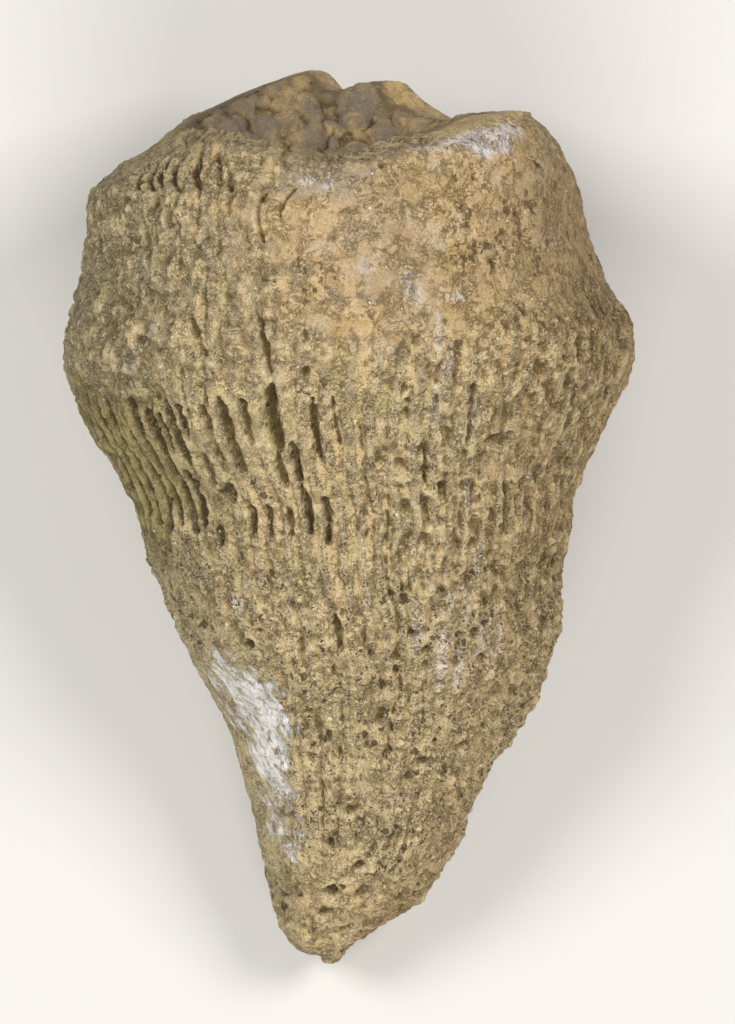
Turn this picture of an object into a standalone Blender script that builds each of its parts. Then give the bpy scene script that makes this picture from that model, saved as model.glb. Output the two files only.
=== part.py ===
"""Fossil horn coral, one piece of stone lying on its side.

The horn lies along Y: its blunt tip points to -Y and its cup opens to +Y. X goes across it,
Z is up, and it rests on two worn flats at Z = 0. Every length below is in millimetres, and
the finished mesh is in metres.
"""
import bmesh
import bpy
import numpy as np

MM = 0.001

# The four sides of the horn as seen square on: (place along Y, distance out), tip to rim.
LEFT_SIDE = (
    (-33.4, -1.5), (-32.8, -2.8), (-31.6, -4.7), (-30.1, -5.5), (-26.4, -6.5), (-21.2, -7.7),
    (-18.2, -8.5), (-13.7, -10.3), (-9.3, -12.6), (-4.8, -14.2), (-2.5, -15.0), (0.4, -15.7),
    (3.4, -17.6), (6.4, -19.6), (9.8, -21.0), (11.6, -21.2), (13.5, -21.1), (17.2, -20.1),
    (21.0, -19.6), (24.0, -19.2), (25.1, -18.5), (26.9, -15.9), (28.7, -13.0),
)
RIGHT_SIDE = (
    (-33.4, -1.5), (-33.1, -0.9), (-31.6, 0.8), (-30.1, 3.2), (-28.1, 6.0), (-25.7, 7.6),
    (-21.9, 9.1), (-18.7, 10.6), (-14.6, 13.2), (-10.0, 15.0), (-8.1, 15.6), (-5.2, 15.6),
    (-1.4, 16.5), (2.6, 17.1), (7.6, 19.4), (10.9, 20.9), (12.4, 21.2), (13.7, 21.2),
    (17.3, 19.3), (21.3, 17.7), (25.1, 16.8), (28.0, 15.3), (29.9, 13.6), (30.4, 12.4),
)
TOP_SIDE = (
    (-33.4, 5.0), (-32.8, 7.0), (-31.0, 9.4), (-28.0, 12.0), (-24.0, 14.9), (-18.0, 19.0),
    (-9.0, 26.4), (0.0, 31.4), (6.0, 35.9), (10.0, 38.4), (13.0, 39.4), (17.0, 39.6),
    (22.0, 39.5), (25.0, 39.0), (26.4, 38.2), (26.8, 37.2),
)
UNDER_SIDE = (
    (-33.4, 5.0), (-33.0, 3.4), (-31.6, 1.2), (-29.5, -0.2), (-27.0, -0.4), (-22.0, 0.5),
    (-15.0, 1.0), (-8.0, 1.1), (0.0, 0.8), (6.0, 0.2), (10.0, -0.4), (13.0, -0.5),
    (16.0, 0.1), (20.0, 2.5), (24.0, 5.6), (28.0, 8.9), (30.8, 11.5), (31.7, 13.4),
)
# The broken rim: (angle round the horn, place along Y). 0 is the top, 90 the right side.
RIM = (
    (-90, 28.7), (-64, 28.6), (-46, 28.3), (-34, 27.5), (-27, 27.2), (-15, 26.5), (2, 26.8),
    (11, 27.1), (22, 28.0), (37, 28.7), (56, 29.6), (90, 30.4), (108, 30.0), (124, 30.3),
    (142, 30.0), (148, 30.5), (158, 31.7), (165, 32.3), (176, 31.8), (183, 31.7), (191, 33.0),
    (206, 32.3), (220, 31.4), (238, 30.2), (251, 29.6), (270, 28.7),
)
RIM_LEVEL = 29.0
RIM_TILT_STARTS = 14.0

# The cup: its mouth is off centre, with the thickest wall on the right.
MOUTH_CENTRE = (-1.7, 25.2)
MOUTH_HALF_WIDTH = 10.7
MOUTH_HALF_HEIGHT = 10.8
CUP_DEPTH = 6.0
CUP_LEAN_DEG = 13.0

# The ribs: 72 plates stand round the horn, with a groove between each two of them.
GROOVES = 72
GROOVE_STEP = 360.0 / GROOVES
FIRST_GROOVE = -0.5
GROOVE_HALF_WIDTH = 0.42
# Long open slots: (angle of the groove, lower end, upper end along Y, depth).
SLOTS = (
    (-70.5, 3.0, 8.0, 0.9), (-65.5, 1.0, 8.5, 1.1), (-60.5, -1.0, 9.0, 1.3),
    (-55.5, -1.5, 9.0, 1.5), (-50.5, -1.5, 8.0, 1.4), (-45.5, -1.5, 7.5, 1.5),
    (-40.5, -1.0, 8.0, 1.3), (-35.5, 1.5, 7.5, 0.9), (-30.5, -1.0, 8.0, 1.0),
    (-25.5, 2.2, 8.8, 1.5), (-25.5, -1.6, 1.0, 0.8), (-20.5, 4.6, 8.6, 1.0),
    (-20.5, -1.0, 1.0, 0.8), (-15.5, 3.2, 9.6, 1.8), (-11.5, -1.6, 5.4, 1.2),
    (-5.5, 3.8, 8.8, 1.3), (-7.5, -2.0, 1.4, 1.2), (-0.5, 4.8, 9.0, 0.9),
    (4.5, -6.0, -2.2, 0.7), (9.5, -6.2, 0.4, 0.8), (19.5, 2.6, 5.6, 1.1),
    (19.5, -2.6, 1.2, 0.9), (28.5, 5.2, 10.2, 1.2), (29.5, -2.2, 1.2, 1.0),
    (-8.5, -10.2, -7.0, 1.3), (24.5, -5.6, -3.2, 0.8), (34.5, 3.0, 6.0, 0.9),
    (39.5, -1.0, 3.5, 0.8), (49.5, 1.0, 7.0, 0.8), (59.5, 0.0, 6.0, 0.8),
)
# Single holes: (angle, place along Y, radius, depth).
HOLES = (
    (36.0, 5.4, 0.75, 1.1), (8.0, -15.0, 0.6, 0.9), (12.0, -10.3, 0.5, 0.8),
    (3.0, -22.0, 0.5, 0.8), (-40.0, -9.2, 0.5, 0.6), (-13.0, 10.6, 0.5, 0.7),
    (-5.0, -27.6, 0.9, 1.0), (22.0, -28.2, 0.6, 0.8), (8.0, -30.3, 0.6, 0.7),
    (48.0, -29.0, 0.8, 0.9), (-62.0, 20.8, 0.8, 0.8), (33.0, 18.0, 0.4, 0.5),
    (150.0, -5.0, 0.9, 1.0), (-140.0, 6.0, 0.9, 1.0), (165.0, 18.0, 0.8, 0.9),
)
# Ledges where growth stopped for a while: (place along Y, step out, how wide the step is).
LEDGES = (
    (-1.9, 0.45, 1.2), (10.4, 0.25, 2.2), (-27.6, 0.55, 1.2), (-13.0, 0.2, 2.5),
)

SECTORS = 600
WALL_RINGS = 330
CUP_RINGS = 60
MOST_TRIANGLES = 9600
REST_CUT = 0.0
# Below this height the underside is worn smooth.
WORN_HEIGHT = 1.2


def smooth_step(low, high, value):
    """Goes from 0 at low to 1 at high without a corner."""
    t = np.clip((value - low) / (high - low), 0.0, 1.0)
    return t * t * (3.0 - 2.0 * t)


def between(low, high, edge, value):
    """1 between low and high, fading to 0 over the edge on either side."""
    return smooth_step(low - edge, low + edge, value) * (1.0 - smooth_step(high - edge, high + edge, value))


def side_curve(points, along):
    """Distance out at each place along a side, on a smooth curve through its points."""
    at = np.array([p[0] for p in points])
    out = np.array([p[1] for p in points])
    slope = np.gradient(out, at)
    slope[0] = (out[1] - out[0]) / (at[1] - at[0])
    slope[-1] = (out[-1] - out[-2]) / (at[-1] - at[-2])
    secant = np.diff(out) / np.diff(at)
    for i in range(1, len(at) - 1):
        if secant[i - 1] * secant[i] <= 0.0:
            slope[i] = 0.0
        else:
            limit = 3.0 * min(abs(secant[i - 1]), abs(secant[i]))
            slope[i] = np.clip(slope[i], -limit, limit)
    along = np.clip(along, at[0], at[-1])
    i = np.clip(np.searchsorted(at, along) - 1, 0, len(at) - 2)
    step = at[i + 1] - at[i]
    t = (along - at[i]) / step
    return (
        (2 * t**3 - 3 * t**2 + 1) * out[i]
        + (t**3 - 2 * t**2 + t) * step * slope[i]
        + (3 * t**2 - 2 * t**3) * out[i + 1]
        + (t**3 - t**2) * step * slope[i + 1]
    )


def rim_at(angle):
    """Place of the rim along Y at each angle in degrees."""
    turned = np.mod(angle + 90.0, 360.0) - 90.0
    return side_curve(RIM, turned)


def random_at(x, y, z, seed):
    """A repeatable number from 0 to 1 for each cell of a lattice."""
    h = (x * 374761393 + y * 668265263 + z * 2147483647 + seed * 1274126177) & 0xFFFFFFFF
    h = ((h ^ (h >> 13)) * 1103515245) & 0xFFFFFFFF
    h = ((h ^ (h >> 16)) * 69069) & 0xFFFFFFFF
    return ((h ^ (h >> 15)) & 0xFFFFFF) / float(0xFFFFFF)


def lumps(points, size, seed):
    """Smooth random relief from -1 to 1 whose lumps are about the given size."""
    q = points / size
    cell = np.floor(q).astype(np.int64)
    f = q - cell
    f = f * f * f * (f * (f * 6.0 - 15.0) + 10.0)
    total = np.zeros(points.shape[:-1])
    for dx in (0, 1):
        for dy in (0, 1):
            for dz in (0, 1):
                weight = (
                    (f[..., 0] if dx else 1.0 - f[..., 0])
                    * (f[..., 1] if dy else 1.0 - f[..., 1])
                    * (f[..., 2] if dz else 1.0 - f[..., 2])
                )
                value = random_at(cell[..., 0] + dx, cell[..., 1] + dy, cell[..., 2] + dz, seed)
                total += weight * value
    return total * 2.0 - 1.0


def nearest_seeds(points, size, seed):
    """Distance, in cell sizes, from each point to the nearest of scattered seeds, and its number."""
    q = points / size
    cell = np.floor(q).astype(np.int64)
    best = np.full(points.shape[:-1], 9.0)
    name = np.zeros(points.shape[:-1])
    for dx in (-1, 0, 1):
        for dy in (-1, 0, 1):
            for dz in (-1, 0, 1):
                x, y, z = cell[..., 0] + dx, cell[..., 1] + dy, cell[..., 2] + dz
                gap = (
                    (x + random_at(x, y, z, seed) - q[..., 0]) ** 2
                    + (y + random_at(x, y, z, seed + 1) - q[..., 1]) ** 2
                    + (z + random_at(x, y, z, seed + 2) - q[..., 2]) ** 2
                )
                closer = gap < best
                best = np.where(closer, gap, best)
                name = np.where(closer, random_at(x, y, z, seed + 3), name)
    return np.sqrt(best), name


def wall_levels():
    """Levels from the tip to the rim, evenly spaced along the skin."""
    fine = np.linspace(LEFT_SIDE[0][0], RIM_LEVEL, 6000)
    length = np.zeros(len(fine))
    for points, angle in ((LEFT_SIDE, -90), (RIGHT_SIDE, 90), (TOP_SIDE, 0), (UNDER_SIDE, 180)):
        at = tilted(fine, np.full(len(fine), float(angle)))
        out = side_curve(points, at)
        length[1:] += np.hypot(np.diff(at), np.diff(out))
    travelled = np.cumsum(length)
    return np.interp(np.linspace(0.0, travelled[-1], WALL_RINGS), travelled, fine)


def tilted(level, angle):
    """Place along Y of a level at an angle: level rings low down, the rim's own line at the top."""
    rise = smooth_step(RIM_TILT_STARTS, RIM_LEVEL, level)
    return level + rise * (rim_at(angle) - RIM_LEVEL)


def wall_rings(angle):
    """The plain outer wall, one ring of points for each level."""
    level = wall_levels()[:, None]
    turn = np.radians(angle)[None, :]
    one = np.ones_like(level)
    left = side_curve(LEFT_SIDE, tilted(level, -90.0 * one))
    right = side_curve(RIGHT_SIDE, tilted(level, 90.0 * one))
    top = side_curve(TOP_SIDE, tilted(level, 0.0 * one))
    under = side_curve(UNDER_SIDE, tilted(level, 180.0 * one))
    x = (left + right) / 2 + (right - left) / 2 * np.sin(turn)
    z = (top + under) / 2 + (top - under) / 2 * np.cos(turn)
    y = tilted(level, angle[None, :] * one)
    return np.stack(np.broadcast_arrays(x, y, z), axis=-1)


def cup_rings(rim, angle):
    """The inside of the cup, from the rim's inner edge down to the middle of its floor."""
    turn = np.radians(angle)
    edge = np.stack(
        (
            MOUTH_CENTRE[0] + MOUTH_HALF_WIDTH * np.sin(turn),
            rim[:, 1] - 0.5,
            MOUTH_CENTRE[1] + MOUTH_HALF_HEIGHT * np.cos(turn),
        ),
        axis=-1,
    )
    lip_rings = CUP_RINGS // 4
    rings = []
    for i in range(1, lip_rings + 1):
        t = i / lip_rings
        lip = rim * (1.0 - t) + edge * t
        lip[:, 1] += 0.55 * np.sin(np.pi * t)
        rings.append(lip)
    lean = np.radians(CUP_LEAN_DEG)
    inward = -np.array((0.0, np.cos(lean), np.sin(lean)))
    middle = edge.mean(axis=0)
    for i in range(1, CUP_RINGS - lip_rings + 1):
        t = i / (CUP_RINGS - lip_rings)
        depth = CUP_DEPTH * (1.0 - (1.0 - t) ** 2.6)
        rings.append(middle + (edge - middle) * (1.0 - t) + inward * depth)
    return np.stack(rings)


def outward(points):
    """Unit normals of a grid of rings, pointing out of the stone."""
    along = np.gradient(points, axis=0)
    wrapped = np.concatenate((points[:, -1:], points, points[:, :1]), axis=1)
    across = (wrapped[:, 2:] - wrapped[:, :-2]) / 2.0
    normal = np.cross(across, along)
    normal[0] = (0.0, -1.0, 0.0)
    normal[-1] = (0.0, 1.0, 0.0)
    length = np.linalg.norm(normal, axis=-1, keepdims=True)
    return normal / np.maximum(length, 1e-9)


def rib_relief(angle, along, radius):
    """How far the grooves, slots and their cross bars cut in."""
    lean = 0.5 * smooth_step(-30.0, -62.0, angle) * np.clip(along - 8.7, -11.0, 1.0)
    lane = (angle - lean - FIRST_GROOVE) / GROOVE_STEP
    number = np.round(lane)
    aside = np.abs(lane - number) * np.radians(GROOVE_STEP) * radius
    groove = 1.0 - smooth_step(0.1, GROOVE_HALF_WIDTH + 0.25, aside)
    odd = np.mod(number, 2.0)
    groove = groove * (1.0 - odd * smooth_step(-8.0, -20.0, along))
    ribbed = (
        0.24
        + 0.40 * between(-78.0, -2.0, 8.0, angle) * between(-1.5, 9.0, 1.0, along)
        + 0.20 * between(10.0, 85.0, 8.0, angle) * between(-4.0, 11.0, 2.0, along)
        - 0.20 * between(-20.0, 70.0, 12.0, angle) * smooth_step(10.0, 15.0, along)
        - 0.10 * between(-75.0, -15.0, 8.0, angle) * between(-10.0, -2.0, 1.0, along)
    )
    offset = random_at(number.astype(np.int64), np.int64(0), np.int64(0), 5)
    bars = smooth_step(0.45, 0.9, np.cos(2.0 * np.pi * (along / 2.4 + offset)))
    barred = 0.8 * smooth_step(-5.0, 20.0, angle) + 0.5 * smooth_step(-3.0, -8.0, along)
    cut = ribbed * groove * (1.0 - np.clip(barred, 0.0, 0.85) * bars)
    for at, low, high, depth in SLOTS:
        side = np.abs(angle - lean - at) * np.radians(1.0) * radius
        reach = between(low, high, 0.5, along)
        slot = depth * reach * (1.0 - smooth_step(0.15, GROOVE_HALF_WIDTH + 0.2, side))
        cut = np.maximum(cut, slot)
    return -cut


def hole_relief(angle, along, radius):
    """How far the single holes cut in."""
    cut = np.zeros_like(along)
    for at, place, size, depth in HOLES:
        side = (np.mod(angle - at + 180.0, 360.0) - 180.0) * np.radians(1.0) * radius
        away = np.hypot(side, along - place)
        cut = np.maximum(cut, depth * (1.0 - smooth_step(size * 0.4, size * 1.25, away)))
    return -cut


def ledge_relief(angle, along, points):
    """Growth ledges: the horn is a little fuller just above each one, most of all on the left."""
    ragged = along + 1.1 * lumps(points, 5.0, 21) + 0.4 * lumps(points, 1.8, 22)
    out = np.zeros_like(along)
    for place, step, width in LEDGES:
        out += step * smooth_step(place - 0.25, place + 0.25, ragged) * (
            1.0 - smooth_step(place + 0.25, place + 0.25 + width * 2.5, ragged)
        )
    return out * (0.35 + 0.65 * between(-100.0, 5.0, 20.0, angle))


def stone_relief(points):
    """Lumps and knobs of the worn stone, coarse to fine."""
    return (
        0.30 * lumps(points, 7.0, 31)
        + 0.22 * lumps(points, 3.2, 32)
        + 0.12 * lumps(points, 1.5, 33)
    )


def crust_relief(angle, along, points):
    """Knobbly crust on the upper left shoulder."""
    near, number = nearest_seeds(points, 2.2, 41)
    knob = np.clip(1.0 - (near / 0.62) ** 2, 0.0, 1.0) * (0.4 + 0.6 * number)
    return 0.5 * knob * between(-85.0, -12.0, 8.0, angle) * between(10.5, 25.0, 2.0, along)


def blister_relief(points):
    """Rounded blisters on the floor of the cup."""
    near, number = nearest_seeds(points, 2.7, 51)
    return 0.75 * np.sqrt(np.clip(1.0 - (near / 0.6) ** 2, 0.0, 1.0)) * (0.3 + 0.7 * number)


def carve(rings, angle):
    """Moves every point of the plain shape in or out by the relief at its place."""
    along = rings[..., 1]
    turned = np.broadcast_to(angle[None, :], along.shape)
    middle = rings.mean(axis=1, keepdims=True)
    radius = np.linalg.norm(rings - middle, axis=-1)
    radius = np.broadcast_to(radius.mean(axis=1, keepdims=True), along.shape)
    ring = np.broadcast_to(np.arange(len(rings))[:, None], along.shape)
    wall = 1.0 - smooth_step(WALL_RINGS - 8.0, WALL_RINGS, ring.astype(float))
    lip = CUP_RINGS // 4
    inside = smooth_step(WALL_RINGS + lip * 0.5, WALL_RINGS + lip * 1.5, ring.astype(float))
    near_tip = smooth_step(-33.2, -29.0, along)
    relief = rib_relief(turned, along, radius) * near_tip
    relief += hole_relief(turned, along, radius)
    relief += ledge_relief(turned, along, rings)
    relief += crust_relief(turned, along, rings)
    relief = relief * wall + stone_relief(rings) * (1.0 - 0.5 * inside)
    relief += blister_relief(rings) * inside
    relief *= smooth_step(0.0, WORN_HEIGHT, rings[..., 2])
    return rings + outward(rings) * relief[..., None]


def closed_mesh(name, rings):
    """A closed mesh from a grid of rings, with a single point at either end."""
    count, sectors = rings.shape[:2]
    body = rings[1:-1].reshape(-1, 3)
    tip = rings[0].mean(axis=0, keepdims=True)
    floor = rings[-1].mean(axis=0, keepdims=True)
    points = np.concatenate((body, tip, floor)) * MM
    index = np.arange((count - 2) * sectors).reshape(count - 2, sectors)
    across = np.roll(index, -1, axis=1)
    quads = np.stack((index[:-1], across[:-1], across[1:], index[1:]), axis=-1).reshape(-1, 4)
    faces = quads.tolist()
    tip_index = len(body)
    floor_index = tip_index + 1
    for i in range(sectors):
        j = (i + 1) % sectors
        faces.append((tip_index, int(index[0, j]), int(index[0, i])))
        faces.append((floor_index, int(index[-1, i]), int(index[-1, j])))
    mesh = bpy.data.meshes.new(name)
    mesh.from_pydata(points.tolist(), [], faces)
    mesh.update()
    return mesh


def thinned(mesh, most):
    """The same shape with at most the given number of triangles, more of them where it turns."""
    trial = bpy.data.objects.new("trial", mesh)
    bpy.context.scene.collection.objects.link(trial)
    thin = trial.modifiers.new("thin", "DECIMATE")
    triangles = sum(len(face.vertices) - 2 for face in mesh.polygons)
    thin.ratio = most / triangles
    bpy.context.view_layer.update()
    graph = bpy.context.evaluated_depsgraph_get()
    result = bpy.data.meshes.new_from_object(trial.evaluated_get(graph))
    bpy.data.objects.remove(trial, do_unlink=True)
    return result


def rest_flats(mesh):
    """Cuts the worn flats that the stone rests on, level with Z = 0."""
    work = bmesh.new()
    work.from_mesh(mesh)
    everything = work.verts[:] + work.edges[:] + work.faces[:]
    cut = bmesh.ops.bisect_plane(
        work, geom=everything, dist=1e-7, plane_co=(0, 0, REST_CUT), plane_no=(0, 0, 1), clear_inner=True
    )
    edges = [item for item in cut["geom_cut"] if isinstance(item, bmesh.types.BMEdge)]
    bmesh.ops.holes_fill(work, edges=edges, sides=0)
    bmesh.ops.recalc_face_normals(work, faces=work.faces)
    bmesh.ops.triangulate(work, faces=[face for face in work.faces if len(face.verts) > 4])
    work.to_mesh(mesh)
    work.free()
    return mesh


def stone_material():
    """Dull tan limestone."""
    material = bpy.data.materials.new("coral_stone")
    material.use_nodes = True
    shader = material.node_tree.nodes["Principled BSDF"]
    shader.inputs["Base Color"].default_value = (0.50, 0.35, 0.17, 1.0)
    shader.inputs["Roughness"].default_value = 0.85
    shader.inputs["Metallic"].default_value = 0.0
    return material


def build_coral():
    """The whole fossil as one closed solid."""
    angle = np.linspace(-180.0, 180.0, SECTORS, endpoint=False)
    wall = wall_rings(angle)
    cup = cup_rings(wall[-1], angle)
    rings = carve(np.concatenate((wall, cup)), angle)
    mesh = thinned(closed_mesh("horn_coral", rings), MOST_TRIANGLES)
    mesh = rest_flats(mesh)
    mesh.name = "horn_coral"
    coral = bpy.data.objects.new("horn_coral", mesh)
    bpy.context.scene.collection.objects.link(coral)
    coral.data.materials.clear()
    coral.data.materials.append(stone_material())
    mesh.shade_smooth()
    mesh.set_sharp_from_angle(angle=np.radians(50.0))
    return coral


def main():
    for old in list(bpy.data.objects):
        bpy.data.objects.remove(old, do_unlink=True)
    build_coral()


main()
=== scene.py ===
"""Fossil horn coral lying on its side on a pale table, seen from straight above.

The stone's skin is worked out in millimetres on a grid of rings from the tip, over the rim and
down to the floor of the cup, then thinned where it is plain and scaled to metres. Its colours
come from node materials, helped by a few numbers kept on the mesh, such as how deep a point lies.
"""
import math
from functools import partial, reduce

import bpy
import numpy as np
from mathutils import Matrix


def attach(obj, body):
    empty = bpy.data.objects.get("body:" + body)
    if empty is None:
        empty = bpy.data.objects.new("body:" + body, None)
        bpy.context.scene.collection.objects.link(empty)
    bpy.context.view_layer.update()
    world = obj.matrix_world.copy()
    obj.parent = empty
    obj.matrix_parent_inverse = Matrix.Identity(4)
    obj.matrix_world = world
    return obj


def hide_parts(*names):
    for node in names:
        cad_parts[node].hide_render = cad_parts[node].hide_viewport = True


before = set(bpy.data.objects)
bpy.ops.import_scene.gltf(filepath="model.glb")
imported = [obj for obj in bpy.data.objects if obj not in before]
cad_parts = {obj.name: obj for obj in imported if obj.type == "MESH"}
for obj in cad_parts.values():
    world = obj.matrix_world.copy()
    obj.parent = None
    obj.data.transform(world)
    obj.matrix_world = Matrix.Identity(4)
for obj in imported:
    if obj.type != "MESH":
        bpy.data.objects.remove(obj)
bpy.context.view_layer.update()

MM = 0.001

# ---------------------------------------------------------------- the horn's shape

# The four sides of the horn as seen square on: (place along Y, distance out), tip to rim.
LEFT_SIDE = (
    (-33.4, -1.5), (-33.3, -1.7), (-32.75, -2.1), (-32.55, -3), (-31.9, -4.2), (-31, -5.1),
    (-30, -5.5), (-26.4, -6.5), (-21.2, -7.7), (-18.2, -8.5), (-13.7, -10.3), (-9.3, -12.6),
    (-4.8, -14.2), (-2.5, -15), (0.4, -15.7), (3.4, -17.6), (6.4, -19.6), (9.8, -21),
    (11.6, -21.2), (13.5, -21.1), (17.2, -20.1), (21, -19.6), (24, -19.2), (25.1, -18.1),
    (26.9, -14.9), (28.7, -12.5),
)
RIGHT_SIDE = (
    (-33.4, -1.5), (-33.3, -1.2), (-32.9, -0.6), (-32.4, -0.3), (-31.5, 1.2), (-30.4, 2.8),
    (-30.1, 3.5), (-29.5, 4.5), (-28.1, 5.9), (-27.3, 6.3), (-24.7, 8.1), (-21.9, 9.1),
    (-18.7, 10.6), (-14.6, 13.2), (-10, 15), (-8.1, 15.6), (-5.2, 15.6), (-1.4, 16.5), (2.6, 17.1),
    (7.6, 19.4), (10.9, 20.9), (12.4, 21.2), (13.7, 21.2), (17.3, 19.2), (21.3, 17.6),
    (25.1, 16.7), (27.4, 15.5), (28.9, 14.6), (29.7, 13.6),
)
TOP_SIDE = (
    (-33.4, 5), (-32.8, 7), (-31, 9.4), (-28, 12), (-24, 14.9), (-18, 19), (-9, 26.4), (0, 31.4),
    (6, 35.9), (10, 38.4), (13, 39.4), (17, 39.6), (22, 39.5), (25, 39), (26.4, 38.2),
    (26.8, 37.2),
)
UNDER_SIDE = (
    (-33.4, 5), (-33, 3.4), (-31.6, 1.2), (-29.5, -0.2), (-27, -0.4), (-22, 0.5), (-15, 1),
    (-8, 1.1), (0, 0.8), (6, 0.2), (10, -0.4), (13, -0.5), (16, 0.1), (20, 2.5), (24, 5.6),
    (28, 8.9), (30.8, 11.5), (31.7, 13.4),
)
SIDES = ((LEFT_SIDE, -90.0), (RIGHT_SIDE, 90.0), (TOP_SIDE, 0.0), (UNDER_SIDE, 180.0))
# The broken rim: (angle round the horn, place along Y). 0 is the top, 90 the right side.
RIM = (
    (-90, 28.7), (-64, 28.6), (-46, 28.3), (-34, 27.5), (-27, 27.2), (-15, 26.5), (2, 26.8),
    (11, 27.1), (22, 27.9), (37, 28.6), (56, 29.5), (90, 30), (108, 29.3), (124, 29.5),
    (146, 29.7), (151, 30.3), (160, 31.6), (165, 32.3), (176, 31.8), (183, 31.7), (191, 33),
    (206, 32.3), (220, 31.4), (238, 30.2), (251, 29.6), (270, 28.7),
)
RIM_LEVEL = 29.0
RIM_TILT_STARTS = 14.0

# The mouth of the cup, as (X, Z), its half sizes, and how deep and how leaning the cup is.
MOUTH_CENTRE = (-1.7, 25.2)
MOUTH_HALF_WIDTH = 10.7
MOUTH_HALF_HEIGHT = 10.8
CUP_DEPTH = 6.0
CUP_LEAN_DEG = 13.0

# The grooves between the ribs: how many there are round the horn, and the first one's angle.
GROOVES = 72
GROOVE_STEP = 360.0 / GROOVES
FIRST_GROOVE = -0.5
# Long open slots: (angle and place of the lower end, angle and place of the upper end,
# half the width in the middle, depth).
SLOTS = (
    (-73.4, 2, -72, 7, 0.38, 1), (-68.6, 0, -66.6, 8.2, 0.36, 1.2),
    (-63.7, -0.8, -61.5, 8.8, 0.36, 1.4), (-58.8, -1.3, -56.6, 6.6, 0.35, 1.6),
    (-54.1, -1, -52, 9, 0.35, 1.5), (-49.5, -1.6, -47.3, 8.2, 0.35, 1.7),
    (-45.4, -1.2, -43.6, 3.6, 0.3, 1.3), (-44.6, 4.6, -43.8, 7.8, 0.32, 1.3),
    (-41.5, 3.4, -40.6, 8.8, 0.48, 1.6), (-40.6, -2.4, -40, -0.6, 0.3, 0.8),
    (-37.6, 5.6, -37.8, 8.4, 0.3, 1), (-36.4, 2.2, -36, 4.6, 0.28, 0.8),
    (-33.8, 0.8, -33.2, 2.4, 0.42, 1.1), (-31.6, 3, -31.6, 8.4, 0.36, 1.1),
    (-26.6, 2.8, -27.2, 9, 0.5, 1.7), (-29.4, -1.6, -29.4, 1.2, 0.34, 1.2),
    (-21.6, 5.2, -22.2, 8.8, 0.36, 1.3), (-24.4, -1.8, -24.2, 0.8, 0.28, 1),
    (-15.8, 4.4, -15.6, 10, 0.52, 2), (-17, 1.8, -16.4, 5, 0.34, 1.2),
    (-18.4, -1.8, -18.6, 0.6, 0.24, 0.8), (-12.8, 2, -12, 5.6, 0.36, 1.4),
    (-13.2, -1.8, -12.8, 2.2, 0.34, 1.4), (-6.2, 3.8, -6.8, 8.8, 0.38, 1.5),
    (-8.2, -2.4, -7.6, 1.4, 0.36, 1.5), (-1, 4.8, -2.6, 8.8, 0.28, 1),
    (4.2, 4.6, 3.6, 6.6, 0.22, 0.8), (8.6, -6.2, 8, -3, 0.28, 0.9), (8, -2.6, 8.4, 0.4, 0.26, 0.9),
    (14.6, -6.2, 14.4, -3.4, 0.26, 0.8), (18.4, -2.2, 18, 1.2, 0.26, 0.9),
    (19.6, 2.2, 18.8, 5.6, 0.36, 1.4), (24.8, -5, 24.6, -2.8, 0.3, 0.9),
    (27.8, 8.4, 27.2, 10.2, 0.4, 1.3), (29.4, 5.2, 27.8, 8.8, 0.34, 1.2),
    (29.2, 2.6, 28.8, 4.4, 0.3, 1), (29.6, -2.4, 28.6, 1.2, 0.28, 1),
    (-8.8, -10.2, -8.6, -7, 0.34, 1.3), (-21.2, -10.4, -21, -9.2, 0.34, 0.9),
    (-39.4, -10, -38.6, -9, 0.34, 0.7), (4.2, -5.4, 4.8, -2.4, 0.22, 0.6),
    (-29.6, 11.8, -34.4, 14.8, 0.24, 0.8), (-15.6, 10.2, -19.4, 15.4, 0.26, 1),
    (-16.2, 20, -19.6, 24.2, 0.2, 0.6), (-12.2, 22, -13.8, 24.4, 0.2, 0.6),
    (-52, 23.9, -72, 26.6, 0.2, 0.8), (-48, 24, -69, 27, 0.22, 0.9),
    (-45.2, 24.1, -65.5, 27.2, 0.24, 1), (-40.6, 24, -58.6, 27, 0.22, 0.9),
    (-36, 24.2, -52, 27.2, 0.26, 1.1), (-30.8, 24.2, -44.5, 27, 0.24, 1),
    (-27.6, 24, -38.5, 26.2, 0.18, 0.7), (-69, 19.6, -70, 21.4, 0.34, 0.8),
    (34.6, 9.6, 33.4, 11, 0.22, 0.8), (42, -2, 41, 1, 0.24, 0.8), (49.5, 1, 48, 5, 0.24, 0.8),
    (59.5, 0, 58, 4, 0.24, 0.8), (66, -4, 65, 1, 0.24, 0.7),
)
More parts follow.
